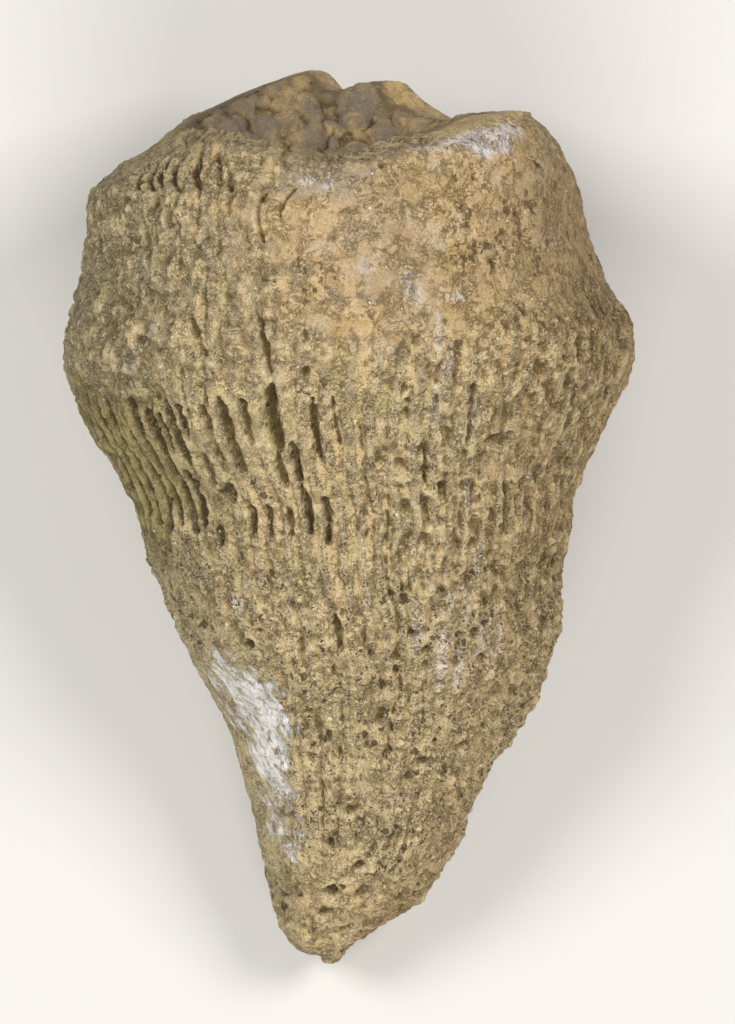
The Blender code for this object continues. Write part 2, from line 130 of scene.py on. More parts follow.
# Single holes: (angle, place along Y, half across, half along, depth).
HOLES = (
    (37.5, 5.6, 1.1, 0.5, 1.4), (40.6, 6, 0.4, 0.3, 0.8), (-8.8, 13.4, 0.35, 0.45, 0.7),
    (-8.6, 10.6, 0.35, 0.5, 0.8), (13.6, 8.4, 0.3, 0.4, 0.7), (4.2, -15, 0.55, 0.4, 1),
    (14, -8.8, 0.45, 0.3, 0.8), (18, -10, 0.5, 0.3, 0.8), (9, -10.8, 0.45, 0.35, 0.7),
    (19, -11.2, 0.4, 0.3, 0.6), (35, -8.8, 0.5, 0.4, 0.8), (-1, -22, 0.4, 0.35, 0.7),
    (0.6, -10.2, 0.3, 0.5, 0.7), (-25, -14.8, 0.3, 0.25, 0.6), (-16, -24.6, 0.4, 0.4, 0.8),
    (-12.5, -28.1, 0.6, 0.5, 1.2), (-12, -29.7, 0.5, 0.4, 0.8), (10.4, -28.1, 0.5, 0.45, 0.9),
    (23.5, -31, 0.5, 0.35, 0.8), (47.8, -28.7, 0.5, 0.6, 0.8), (44, -26.4, 0.5, 0.3, 0.5),
    (-5.1, -22.2, 0.5, 0.35, 0.8), (3.4, -26.3, 0.5, 0.4, 0.9), (37, -23.7, 0.45, 0.4, 0.8),
    (27, -18.3, 0.5, 0.4, 0.9), (-16.9, -16.6, 0.35, 0.4, 0.7), (43.3, -17.1, 0.5, 0.35, 0.8),
    (21.8, -19.5, 0.4, 0.45, 0.8), (3.9, -15.4, 0.45, 0.55, 0.8), (8, 26, 0.25, 0.25, 0.5),
    (33, 19.8, 0.3, 0.35, 0.5), (60.5, 26.2, 0.35, 0.3, 0.6), (52, 8.2, 0.5, 0.35, 0.7),
    (58, 5, 0.5, 0.3, 0.7), (47, 9.8, 0.35, 0.4, 0.6), (59, 29, 0.14, 0.5, 0.6),
    (32.7, 21.6, 0.35, 0.35, 0.4), (37.1, 18.8, 0.4, 0.6, 0.5), (36.8, 25, 0.4, 0.4, 0.35),
)
SLOT_WIDENING = 1.35
RIBS_STRAIGHT_ABOVE = 17.0
# Whitish patches: (angle, place along Y, half across, half along, strength).
PALE_PLACES = (
    (15.4, -8.7, 0.36, 1.5, 0.9), (24.1, -10.4, 0.34, 2.1, 1), (30.5, -11.4, 0.36, 1.6, 1),
    (37.7, -9, 0.3, 1.7, 0.8), (32.2, -6.6, 0.3, 1.6, 0.7), (43.4, -9, 0.28, 2.4, 0.6),
    (27.5, -6.5, 0.3, 1.5, 0.5), (18.5, 13, 0.4, 2, 0.35), (21.5, 11.6, 0.35, 1.4, 0.3),
    (19.3, 9, 0.3, 2.2, 0.3), (31.3, 1.6, 0.25, 1.4, 0.4), (15.5, 16.4, 0.5, 1.2, 0.35),
    (42, 28, 2.6, 1.2, 1), (58, 28.6, 1, 0.6, 0.6), (24, 27.3, 2.2, 0.35, 0.45),
    (78, 27.6, 0.3, 1.6, 0.7), (-30, 7, 0.3, 1.2, 0.3), (-50, -5, 0.4, 1, 0.5),
    (-40, -7, 0.5, 1.2, 0.5), (-6, 24.6, 0.5, 0.4, 0.5), (-12, 24.8, 0.6, 0.4, 0.5),
    (6, 18.5, 0.4, 0.5, 0.4), (36, -3, 0.3, 1.6, 0.4), (29, 7, 0.3, 1.6, 0.35),
    (-50, 11.6, 0.8, 0.9, 0.4), (-44, 14, 0.7, 0.7, 0.3), (24, 16.2, 0.7, 0.5, 0.4),
)
# Grey patches in the same form.
SLATE_PLACES = (
    (-2, 16.4, 0.45, 0.7, 0.8), (4.5, 16, 0.5, 0.5, 0.7), (15, 17.4, 0.55, 0.4, 0.9),
    (-9, 17.8, 0.4, 0.6, 0.5), (10, 12.2, 0.5, 0.8, 0.6), (1, 12.6, 0.4, 0.7, 0.5),
    (-22, -5.6, 0.45, 1.4, 0.6), (-12, -5.2, 0.4, 1.6, 0.5), (3, -6, 0.4, 1.6, 0.45),
    (13, -1, 0.35, 1.6, 0.45), (24, -7, 0.35, 1.4, 0.5), (31, -5, 0.35, 1.6, 0.5),
    (-20, 5, 0.35, 1.4, 0.4), (-33, 6, 0.35, 1.4, 0.4), (-54, 13, 0.7, 0.6, 0.4),
    (-30, 20.5, 1.6, 1.2, 0.45), (-48, 18, 1.2, 1.4, 0.4), (20, -15, 0.4, 1.2, 0.3),
    (60, 22, 0.8, 1.4, 0.5), (-8, 25, 3, 1.6, 0.6), (11, 19.5, 3.4, 5.5, 0.3),
    (44, 18, 0.4, 0.5, 0.4), (-16, -28.4, 1, 0.5, 0.4),
)
# Clusters of small angular nicks, in the same form.
NICKED_PLACES = (
    (42, 20.6, 4.6, 2.2, 1), (52, 19.2, 1.8, 1.2, 0.8), (-8, 17.2, 2.6, 2.2, 0.8),
    (30, 19.6, 1.6, 1.4, 0.6), (8, 24.6, 1.6, 0.7, 0.5), (62, 22.6, 1.2, 1.4, 0.6),
)
# The chalky patch's outline: (place along Y, its left edge along X, its right edge).
CHALK_EDGES = (
    (-25.6, -4.9, -4.1), (-24.6, -5.4, -3.5), (-23.2, -5.9, -3.4), (-22.2, -6.1, -4.1),
    (-21.5, -6.4, -4.6), (-19.4, -7, -4.8), (-18, -7.4, -4.7), (-16.9, -8.1, -4.2),
    (-15.2, -8.7, -5.2), (-13.6, -9.6, -5.4), (-12.4, -10.3, -6.5), (-11.4, -10.7, -7.5),
    (-10.8, -10.4, -8.3),
)
CHALK_INSET = 0.3
# Ledges where growth stopped for a while: (place along Y, step out, how wide the step is).
LEDGES = (
    (-1.9, 0.16, 1.4), (10.4, 0.22, 2.2), (-27.6, 0.15, 1.6), (-13.0, 0.2, 2.5),
)
# How tall the tallest blister on the cup's floor stands, how rough the near lip is, and how high
# above the table the relief comes to its full strength.
BLISTER_HEIGHT = 1.6
LIP_ROUGHNESS = 0.35
WORN_HEIGHT = 1.2

# The grid of the skin: sectors round it, more of them crowded towards the top, and rings along
# it; and how many triangles are left when it has been thinned.
SECTORS = 900
CROWDING = 0.42
WALL_RINGS = 640
CUP_RINGS = 120
MOST_TRIANGLES = 194000


def smooth_step(low, high, value):
    """Goes from 0 at low to 1 at high without a corner."""
    t = np.clip((value - low) / (high - low), 0.0, 1.0)
    return t * t * (3.0 - 2.0 * t)


def between(low, high, edge, value):
    """1 between low and high, fading to 0 over the edge on either side."""
    rise = smooth_step(low - edge, low + edge, value)
    return rise * (1.0 - smooth_step(high - edge, high + edge, value))


def side_curve(points, along):
    """Distance out at each place along a side, on a smooth curve through its points."""
    at = np.array([p[0] for p in points])
    out = np.array([p[1] for p in points])
    slope = np.gradient(out, at)
    slope[0] = (out[1] - out[0]) / (at[1] - at[0])
    slope[-1] = (out[-1] - out[-2]) / (at[-1] - at[-2])
    secant = np.diff(out) / np.diff(at)
    for i in range(1, len(at) - 1):
        if secant[i - 1] * secant[i] <= 0.0:
            slope[i] = 0.0
        else:
            limit = 3.0 * min(abs(secant[i - 1]), abs(secant[i]))
            slope[i] = np.clip(slope[i], -limit, limit)
    along = np.clip(along, at[0], at[-1])
    i = np.clip(np.searchsorted(at, along) - 1, 0, len(at) - 2)
    step = at[i + 1] - at[i]
    t = (along - at[i]) / step
    return (
        (2 * t**3 - 3 * t**2 + 1) * out[i]
        + (t**3 - 2 * t**2 + t) * step * slope[i]
        + (3 * t**2 - 2 * t**3) * out[i + 1]
        + (t**3 - t**2) * step * slope[i + 1]
    )


def rim_at(angle):
    """Place of the rim along Y at each angle in degrees."""
    turned = np.mod(angle + 90.0, 360.0) - 90.0
    return side_curve(RIM, turned)


def random_at(x, y, z, seed):
    """A repeatable number from 0 to 1 for each cell of a lattice."""
    h = (x * 374761393 + y * 668265263 + z * 2147483647 + seed * 1274126177) & 0xFFFFFFFF
    h = ((h ^ (h >> 13)) * 1103515245) & 0xFFFFFFFF
    h = ((h ^ (h >> 16)) * 69069) & 0xFFFFFFFF
    return ((h ^ (h >> 15)) & 0xFFFFFF) / float(0xFFFFFF)


def lumps(points, size, seed):
    """Smooth random relief from -1 to 1 whose lumps are about the given size."""
    q = points / size
    cell = np.floor(q).astype(np.int64)
    f = q - cell
    f = f * f * f * (f * (f * 6.0 - 15.0) + 10.0)
    total = np.zeros(points.shape[:-1])
    for dx in (0, 1):
        for dy in (0, 1):
            for dz in (0, 1):
                weight = (
                    (f[..., 0] if dx else 1.0 - f[..., 0])
                    * (f[..., 1] if dy else 1.0 - f[..., 1])
                    * (f[..., 2] if dz else 1.0 - f[..., 2])
                )
                value = random_at(cell[..., 0] + dx, cell[..., 1] + dy, cell[..., 2] + dz, seed)
                total += weight * value
    return total * 2.0 - 1.0


def stacked(points, *layers):
    """Lumps of several sizes together; each layer is (height, size, seed)."""
    return sum(height * lumps(points, size, seed) for height, size, seed in layers)


def nearest_seeds(points, size, seed):
    """How many cell sizes away the nearest of scattered seeds is, and that seed's number."""
    q = points / size
    cell = np.floor(q).astype(np.int64)
    best = np.full(points.shape[:-1], 9.0)
    name = np.zeros(points.shape[:-1])
    for dx in (-1, 0, 1):
        for dy in (-1, 0, 1):
            for dz in (-1, 0, 1):
                x, y, z = cell[..., 0] + dx, cell[..., 1] + dy, cell[..., 2] + dz
                gap = (
                    (x + random_at(x, y, z, seed) - q[..., 0]) ** 2
                    + (y + random_at(x, y, z, seed + 1) - q[..., 1]) ** 2
                    + (z + random_at(x, y, z, seed + 2) - q[..., 2]) ** 2
                )
                closer = gap < best
                best = np.where(closer, gap, best)
                name = np.where(closer, random_at(x, y, z, seed + 3), name)
    return np.sqrt(best), name


def round_knobs(points, size, seed, width=0.6):
    """Scattered knobs, from 1 on their tops to 0 at their feet, and the number of each."""
    near, number = nearest_seeds(points, size, seed)
    return np.clip(1.0 - (near / width) ** 2, 0.0, 1.0), number


def tilted(level, angle):
    """Place along Y of a ring at an angle: square on low down, tilted like the rim at the top."""
    rise = smooth_step(RIM_TILT_STARTS, RIM_LEVEL, level)
    return level + rise * (rim_at(angle) - RIM_LEVEL)


def wall_levels():
    """Levels from the tip to the rim, evenly spaced along the skin."""
    fine = np.linspace(LEFT_SIDE[0][0], RIM_LEVEL, 6000)
    length = np.zeros(len(fine))
    for points, angle in SIDES:
        at = tilted(fine, np.full(len(fine), angle))
        out = side_curve(points, at)
        length[1:] += np.hypot(np.diff(at), np.diff(out))
    travelled = np.cumsum(length)
    return np.interp(np.linspace(0.0, travelled[-1], WALL_RINGS), travelled, fine)


def wall_rings(angle):
    """The plain outer wall, one ring of points for each level."""
    level = wall_levels()[:, None]
    turn = np.radians(angle)[None, :]
    one = np.ones_like(level)
    left, right, top, under = (
        side_curve(points, tilted(level, side * one)) for points, side in SIDES
    )
    x = (left + right) / 2 + (right - left) / 2 * np.sin(turn)
    z = (top + under) / 2 + (top - under) / 2 * np.cos(turn)
    y = tilted(level, angle[None, :] * one)
    return np.stack(np.broadcast_arrays(x, y, z), axis=-1)


def cup_rings(rim, angle):
    """The inside of the cup, from the rim's inner edge down to the middle of its floor."""
    turn = np.radians(angle)
    edge = np.stack(
        (
            MOUTH_CENTRE[0] + MOUTH_HALF_WIDTH * np.sin(turn),
            rim[:, 1] - 0.5,
            MOUTH_CENTRE[1] + MOUTH_HALF_HEIGHT * np.cos(turn),
        ),
        axis=-1,
    )
    lip_rings = CUP_RINGS // 4
    rings = []
    for i in range(1, lip_rings + 1):
        t = i / lip_rings
        lip = rim * (1.0 - t) + edge * t
        lip[:, 1] += 0.35 * np.sin(np.pi * t)
        rings.append(lip)
    lean = np.radians(CUP_LEAN_DEG)
    inward = -np.array((0.0, np.cos(lean), np.sin(lean)))
    middle = edge.mean(axis=0)
    for i in range(1, CUP_RINGS - lip_rings + 1):
        t = i / (CUP_RINGS - lip_rings)
        depth = CUP_DEPTH * (1.0 - (1.0 - t) ** 2.6)
        rings.append(middle + (edge - middle) * (1.0 - t) + inward * depth)
    return np.stack(rings)


def outward(points):
    """Unit normals of a grid of rings, pointing out of the stone."""
    along = np.gradient(points, axis=0)
    wrapped = np.concatenate((points[:, -1:], points, points[:, :1]), axis=1)
    across = (wrapped[:, 2:] - wrapped[:, :-2]) / 2.0
    normal = np.cross(across, along)
    normal[0] = (0.0, -1.0, 0.0)
    normal[-1] = (0.0, 1.0, 0.0)
    length = np.linalg.norm(normal, axis=-1, keepdims=True)
    return normal / np.maximum(length, 1e-9)


# ---------------------------------------------------------------- zones of the skin

# Zones with plain limits: (angles from and to, and how far they fade; places along Y likewise).
ZONES = (
    ((-82.0, -38.0, 5.0), (-1.6, 9.2, 0.7)),  # slotted: on the left, where the grooves stand open
    ((-82.0, 2.0, 6.0), (-1.6, 9.6, 0.8)),  # band: below the shoulder, from the left to the middle
    ((-95.0, -12.0, 8.0), (9.5, 26.5, 1.5)),  # crusted: the upper left, covered in knobbly crust
    ((-120.0, -38.0, 7.0), (-26.0, -9.5, 1.5)),  # flank: smooth, low on the left, with the chalk
    ((38.0, 105.0, 8.0), (-29.0, -7.0, 2.5)),  # knobbly: low on the right, standing in knuckles
)


def eaten_side(angle, along):
    """The right side, where ribs and bars are eaten into a lattice of angular pits."""
    sides = between(6.0, 92.0, 8.0, angle)
    return sides * smooth_step(-8.0, -5.0, along) * (1.0 - smooth_step(11.0, 18.0, along))


def worn_face(angle, along):
    """The smooth worn face under the near rim, from the middle to the right."""
    start = 10.5 + 3.5 * smooth_step(15.0, 50.0, angle)
    return between(-24.0, 84.0, 9.0, angle) * smooth_step(start, start + 5.5, along)


def lower_half(along):
    """The finely ribbed and pitted lower half."""
    return smooth_step(-1.5, -5.0, along)


def broken_tip(along):
    """The rough tip, where no ribs show."""
    return smooth_step(-24.5, -28.0, along)


# ---------------------------------------------------------------- the stone's relief


class Skin:
    """The plain shape's points with what each relief needs to know about them."""

    def __init__(self, rings, angle):
        self.points = rings
        self.angle = np.broadcast_to(angle[None, :], rings.shape[:2])
        self.along = rings[..., 1]
        middle = rings.mean(axis=1, keepdims=True)
        radius = np.linalg.norm(rings - middle, axis=-1).mean(axis=1, keepdims=True)
        self.radius = np.broadcast_to(radius, self.along.shape)
        self.zone_angle = self.angle + 11.0 * lumps(rings, 6.0, 11) + 7.0 * lumps(rings, 2.2, 12)
        self.zone_along = self.along + 2.2 * lumps(rings, 5.0, 13) + 1.4 * lumps(rings, 1.9, 14)
        self.slotted, self.band, self.crusted, self.flank, self.knobbly = (
            between(*turn, self.zone_angle) * between(*length, self.zone_along)
            for turn, length in ZONES
        )
        self.eaten = eaten_side(self.zone_angle, self.zone_along)
        self.worn = worn_face(self.zone_angle, self.zone_along)
        self.lower = lower_half(self.zone_along)
        self.tip = broken_tip(self.zone_along)
        self.sector_angle = angle
        self.ring_along = rings[:WALL_RINGS, :, 1].mean(axis=1)
        ring = np.broadcast_to(np.arange(len(rings))[:, None], self.along.shape).astype(float)
        self.wall = 1.0 - smooth_step(WALL_RINGS - 12.0, WALL_RINGS + 4.0, ring)
        self.cup = smooth_step(WALL_RINGS - 4.0, WALL_RINGS + 12.0, ring)
        self.floor = smooth_step(WALL_RINGS + 0.1 * CUP_RINGS, WALL_RINGS + 0.35 * CUP_RINGS, ring)
        lip = smooth_step(WALL_RINGS - 15.0, WALL_RINGS - 6.0, ring) * (1.0 - self.floor)
        self.lip = lip * between(-72.0, 30.0, 8.0, self.angle)
        self.turned = self.rib_angle()
        lane = (self.turned - FIRST_GROOVE) / GROOVE_STEP
        self.number = np.round(lane)
        self.aside = (lane - self.number) * np.radians(GROOVE_STEP) * self.radius
        plain = (1.0 - self.worn) * (1.0 - self.tip)
        self.septum = smooth_step(-0.05, 0.07, self.aside + 0.08 * lumps(rings, 0.5, 63))
        self.trough = 1.0 - self.septum * plain

    def rib_angle(self):
        """The angle that a point's rib has further down, where the ribs run straight."""
        half = np.ptp(self.points[..., 0], axis=1)[:, None] / 2
        straight = half[np.searchsorted(self.ring_along, RIBS_STRAIGHT_ABOVE)]
        narrowed = np.where(self.along > RIBS_STRAIGHT_ABOVE, np.minimum(half / straight, 1.0), 1.0)
        edge = np.degrees(np.arcsin(narrowed))
        size = np.abs(self.angle)
        near_side = np.sin(np.radians(np.minimum(size, 90.0)))
        near_side = np.degrees(np.arcsin(narrowed * near_side))
        far_side = 180.0 - (180.0 - edge) * (180.0 - size) / 90.0
        turned = np.where(size < 90.0, near_side, far_side) * np.sign(self.angle)
        lean = 0.5 * smooth_step(-30.0, -62.0, self.angle) * np.clip(self.along - 8.7, -11.0, 1.0)
        wander = stacked(self.points, (0.20, 2.6, 61), (0.12, 0.9, 62))
        return turned - lean + np.degrees(wander / self.radius)

    def window(self, angle, along, reach):
        """The part of the grid within reach of a place on the wall, and the way to each point."""
        row = np.searchsorted(self.ring_along, along)
        local = self.radius[min(row, WALL_RINGS - 1), 0]
        turn = np.degrees(reach / max(local, 1.0))
        first = np.searchsorted(self.sector_angle, angle - turn)
        last = np.searchsorted(self.sector_angle, angle + turn)
        low = np.searchsorted(self.ring_along, along - reach - 2.6)
        high = np.searchsorted(self.ring_along, along + reach + 2.6)
        part = (slice(max(low, 1), min(high, WALL_RINGS)), slice(first, last))
        across = np.radians(self.angle[part] - angle) * self.radius[part]
        return part, across, self.along[part] - along


def crumbled(points, size, seed):
    """Rounded crumbs with creases between them, about 0 on average."""
    return np.abs(lumps(points, size, seed)) * 2.0 - 0.6


def rib_relief(skin):
    """Grooves between the ribs, V-shaped, open here and filled with silt there."""
    along, points, number = skin.along, skin.points, skin.number
    slotted, band, eaten, lower = skin.slotted, skin.band, skin.eaten, skin.lower
    tip = broken_tip(along)
    plain = (1.0 - skin.worn) * (1.0 - tip)
    ragged = stacked(points, (0.10, 0.5, 63), (0.06, 0.27, 64))
    silt = stacked(points * np.array((1.0, 0.22, 1.0)), (1.0, 1.5, 65), (0.5, 0.8, 66))
    open_by = smooth_step(-0.5, 0.7, silt + 0.5 * slotted + 0.15 * eaten - 0.1)
    rimmed = skin.crusted * smooth_step(20.5, 23.0, along)
    half = 0.22 + 0.10 * slotted + 0.10 * eaten + 0.04 * band + 0.16 * lower
    half = half * (0.60 + 0.5 * open_by)
    patchy = smooth_step(-0.5, 0.6, stacked(points, (1.0, 3.4, 68), (0.5, 1.5, 69)))
    depth = 0.26 + 0.30 * slotted + 0.10 * band + 0.20 * eaten + 0.24 * lower + 0.20 * rimmed
    depth = depth * (1.0 - 0.6 * eaten * smooth_step(7.0, 11.0, along))
    middle = between(-14.0, 12.0, 5.0, skin.angle)
    depth = depth * (1.0 - 0.35 * middle * smooth_step(-3.0, -1.0, along))
    depth = depth * (1.0 - np.clip(lower + 0.6 * eaten, 0.0, 1.0) * 0.62 * (1.0 - patchy))
    depth = depth * (1.0 - 0.92 * skin.worn) * (1.0 - 0.9 * tip)
    valley = np.clip(1.0 - (np.abs(skin.aside) + ragged) / half, 0.0, 1.0)
    crowded = np.mod(number, 2.0) * smooth_step(-5.0, -11.0, along)
    offset = random_at(number.astype(np.int64), np.int64(0), np.int64(0), 5)
    beat = along / 1.7 + offset + 0.5 * skin.aside + 0.6 * lumps(points, 1.6, 67)
    bars = smooth_step(0.0, 0.8, np.cos(2.0 * np.pi * beat))
    barred = 0.75 * eaten + 0.45 * lower + 0.15 * band
    cut = depth * valley * (0.40 + 0.60 * open_by) * (1.0 - 0.85 * crowded)
    cut = cut * (1.0 - np.clip(barred, 0.0, 0.95) * bars)
    stretch = np.round(along / 5.0).astype(np.int64)
    own = random_at(number.astype(np.int64), stretch, np.int64(1), 6)
    plate = (0.15 * skin.septum * (1.0 - 0.5 * lower) + 0.12 * (own - 0.5)) * plain
    pair = np.cos(math.pi * (number + skin.aside / (np.radians(GROOVE_STEP) * skin.radius)))
    channel = 0.15 * pair * smooth_step(-3.0, -8.0, along) * (1.0 - tip) * (0.6 + 0.4 * patchy)
    return plate - channel - cut


def slot_relief(skin, ragged):
    """The long open slots, pointed at both ends and ragged along their sides."""
    cut = np.zeros_like(skin.along)
    for low_angle, low, high_angle, high, half, depth in SLOTS:
        middle = (low_angle + high_angle) / 2
        reach = (high - low) / 2 + 2.2
        part, across, up = skin.window(middle, (low + high) / 2, reach)
        t = up / (high - low) * 2.0
        flank = float(smooth_step(-43.0, -46.0, middle)) if high < 20.0 else 0.0
        thin = 0.14 + 0.34 * float(smooth_step(-14.0, 2.0, middle)) - 0.02 * flank
        lean = np.radians((high_angle - low_angle) / 2.0) * skin.radius[part] * t
        blunt = np.clip(1.0 - np.abs(t) ** (2.0 + 4.0 * flank), 0.0, 1.0)
        room = SLOT_WIDENING * (1.0 - thin) * half * np.sqrt(blunt) + 0.02
        near = (np.abs(across - lean) + 0.9 * ragged[part]) / room
        slot = (1.0 - thin * (1.0 - flank)) * depth * np.clip(1.15 - near, 0.0, 1.0) * (t * t < 1.0)
        cut[part] = np.maximum(cut[part], slot * smooth_step(0.0, 0.3, 1.0 - t * t))
    return -cut


def hole_relief(skin, ragged):
    """The single holes, each with its own ragged outline."""
    cut = np.zeros_like(skin.along)
    for angle, along, half_across, half_along, depth in HOLES:
        part, across, up = skin.window(angle, along, 2.5)
        away = np.hypot(across / half_across, up / half_along) + 2.0 * ragged[part]
        cut[part] = np.maximum(cut[part], depth * np.clip(1.25 - away, 0.0, 1.0))
    return -cut


def scattered_places(count, seed, weight):
    """Random places on the wall, kept in proportion to a weight from 0 to 1."""
    draw = np.random.default_rng(seed)
    angle = draw.uniform(-172.0, 172.0, count)
    along = draw.uniform(-31.5, 27.5, count)
    wide = (side_curve(RIGHT_SIDE, along) - side_curve(LEFT_SIDE, along)) / 42.4
    kept = draw.uniform(0.0, 1.0, count) < weight(angle, along) * wide
    return angle[kept], along[kept], draw


def pit_weight(angle, along):
    """Pits are thickest where the ribs are eaten away and in the lower half."""
    weight = 0.25 + 0.55 * eaten_side(angle, along) + 0.35 * lower_half(along)
    return np.clip(weight - 0.2 * worn_face(angle, along), 0.02, 1.0)


def angular_pits(skin, ragged):
    """Small pits with a few straight sides, many of them slanting."""
    cut = np.zeros_like(skin.along)
    angles, places, draw = scattered_places(7600, 7, pit_weight)
    eaten = eaten_side(angles, places)
    for angle, along, coarse in zip(angles, places, eaten):
        size = 0.15 + (0.30 + 0.20 * coarse) * draw.random() ** 2.0
        stretch = 1.0 + 1.4 * draw.random()
        slant = draw.normal(0.15 + 0.4 * coarse, 0.45)
        depth = size * draw.uniform(0.8, 1.4) * (0.55 + 0.5 * coarse)
        part, across, up = skin.window(angle, along, size * 2.4)
        c, n = math.cos(slant), math.sin(slant)
        u = (across * c + up * n) / size
        v = (up * c - across * n) / (size * stretch)
        away = np.maximum.reduce((np.abs(u), np.abs(v), np.abs(u * 0.6 + v * 0.75)))
        away = away + 0.5 * ragged[part] / size
        cut[part] = np.maximum(cut[part], depth * np.clip(1.3 - 1.1 * away, 0.0, 1.0))
    return -cut * (0.35 + 0.65 * skin.trough)


def ledge_relief(skin):
    """Growth ledges: the horn is a little fuller just above each one, most of all on the left."""
    here = skin.along + stacked(skin.points, (1.2, 5.0, 21), (0.6, 1.8, 22), (0.4, 0.8, 23))
    out = np.zeros_like(skin.along)
    for place, step, width in LEDGES:
        foot, top = place - 0.4, place + 0.4
        fading = 1.0 - smooth_step(top, top + width * 2.5, here)
        out += step * smooth_step(foot, top, here) * fading
    return out * (0.30 + 0.70 * between(-100.0, 0.0, 20.0, skin.angle))


def stone_relief(skin):
    """Lumps and crumbs of the worn stone, coarse to fine."""
    points = skin.points
    rough = 1.0 + 0.4 * skin.eaten + 0.7 * skin.crusted - 0.2 * skin.tip
    rough = rough + 0.75 * skin.lower - 0.5 * skin.worn - 0.9 * skin.flank
    broad = stacked(points, (0.28, 7.0, 31), (0.15, 3.2, 32))
    middling = 0.09 * crumbled(points, 1.7, 33) + 0.07 * crumbled(points, 0.85, 34)
    fine = 0.05 * crumbled(points, 0.45, 35)
    fuller = 0.35 * smooth_step(-29.0, -32.0, skin.along)
    return broad + fuller + rough * (middling + fine) * underneath(skin)


def dishes(skin):
    """Shallow dishes with sharp rims, where the stone between the ribs has weathered out."""
    near, number = nearest_seeds(skin.points * np.array((1.0, 0.8, 1.0)), 1.15, 47)
    deep = np.clip(1.0 - near, 0.0, 1.0) * (0.2 + 0.8 * number)
    near, number = nearest_seeds(skin.points * np.array((1.0, 0.7, 1.0)), 2.3, 48)
    broad = np.clip(1.15 - near, 0.0, 1.0) * smooth_step(0.35, 0.8, number)
    deep = np.maximum(deep, 1.3 * broad * (0.4 + 0.6 * skin.lower))
    where = 0.75 * skin.lower + 0.9 * skin.eaten + 0.2 * skin.band + 0.25 + 0.2 * skin.tip
    where = where - 0.15 * skin.worn
    return -0.28 * deep * np.clip(where, 0.0, 1.0) * (0.30 + 0.70 * skin.trough)


def chips(skin):
    """Angular chips of different heights on the eaten side and the tip."""
    _, number = nearest_seeds(skin.points * np.array((1.0, 0.75, 1.0)), 0.85, 43)
    where = skin.eaten + 0.25 * skin.tip + 0.45 * skin.crusted + 0.6 * skin.lower
    return 0.18 * (number - 0.5) * np.clip(where, 0.0, 1.0)


def crust_relief(skin):
    """Knobbly crust on the upper left shoulder, and knuckles low on the right."""
    tall = skin.points * np.array((1.0, 0.62, 1.0))
    knob, number = round_knobs(tall, 1.7, 41)
    crust = 0.44 * (knob * (0.2 + 0.8 * number))
    for height, points, size, seed in ((0.34, tall, 0.8, 45), (0.12, skin.points, 0.5, 49)):
        knob, number = round_knobs(points, size, seed)
        crust = crust + height * (knob * number)
    crust = crust - 0.16 * np.clip(0.25 - np.abs(lumps(skin.points, 1.0, 46)), 0.0, 0.25) / 0.25
    edge = 1.0 - 0.6 * smooth_step(-58.0, -78.0, skin.angle)
    return crust * (skin.crusted * edge + 0.7 * skin.knobbly)


def blisters(points):
    """Rounded blisters crowded on the floor of the cup: from 0 between them to 1 on the tallest."""
    shift = np.stack([lumps(points, 1.1, 57 + axis) for axis in range(3)], axis=-1)
    warped = points + 0.25 * shift
    big, number = round_knobs(warped, 1.75, 51, 0.72)
    big = np.sqrt(big) * (0.45 + 0.55 * number)
    small, number = round_knobs(warped, 1.0, 55, 0.70)
    small = np.sqrt(small) * (0.3 + 0.7 * number)
    return np.maximum(big, 0.7 * small)


def smoothed(field, rings, sectors):
    """A field on the grid averaged over a window of rings and sectors."""
    for axis, reach in ((0, rings), (1, sectors)):
        pad = [(0, 0), (0, 0)]
        pad[axis] = (reach + 1, reach)
        wide = np.pad(field, pad, mode="edge" if axis == 0 else "wrap")
        total = np.cumsum(wide, axis=axis)
        ahead = np.take(total, range(2 * reach + 1, total.shape[axis]), axis=axis)
        behind = np.take(total, range(0, total.shape[axis] - 2 * reach - 1), axis=axis)
        field = (ahead - behind) / (2 * reach + 1)
    return field


# ---------------------------------------------------------------- what the colours go by


def patches(skin, places, soft):
    """Ragged patches: each place is (angle, along, half across, half along, strength)."""
    field = np.zeros_like(skin.along)
    ragged = stacked(skin.points, (0.30, 1.3, 81), (0.22, 0.6, 82))
    for angle, along, half_across, half_along, strength in places:
        part, across, up = skin.window(angle, along, max(half_across, half_along) * 1.6)
        away = np.hypot(across / half_across, up / half_along) + 1.2 * ragged[part]
        patch = strength * smooth_step(1.0 + soft, 1.0 - soft, away)
        field[part] = np.maximum(field[part], patch)
    return field


def white_patch(skin):
    """How far inside the chalky patch's ragged outline a point lies, from 0 to 1."""
    points = skin.points
    place = points[..., 1] + 0.5 * lumps(points, 1.8, 91) + 0.3 * lumps(points, 0.7, 92)
    at, left, right = zip(*CHALK_EDGES)
    left, right = np.interp(place, at, left), np.interp(place, at, right)
    x = points[..., 0] + 0.35 * lumps(points, 1.6, 93) + 0.2 * lumps(points, 0.6, 94)
    inside = np.minimum(x - left - CHALK_INSET, right - x)
    ends = np.minimum(place - at[0], at[-1] - place)
    near_side = smooth_step(-95.0, -85.0, skin.angle) * (skin.angle < 0.0)
    return smooth_step(-1.3, 0.9, np.minimum(inside, ends)) * near_side


def speck_weight(skin):
    """How thickly the small dark specks lie."""
    specks = 0.50 + 0.32 * skin.lower + 0.15 * skin.band - 0.5 * skin.flank
    specks -= 0.25 * skin.crusted
    pale = between(-24.0, 22.0, 8.0, skin.zone_angle) * smooth_step(11.0, 15.0, skin.zone_along)
    return np.clip(specks - 0.30 * pale, 0.0, 1.0)


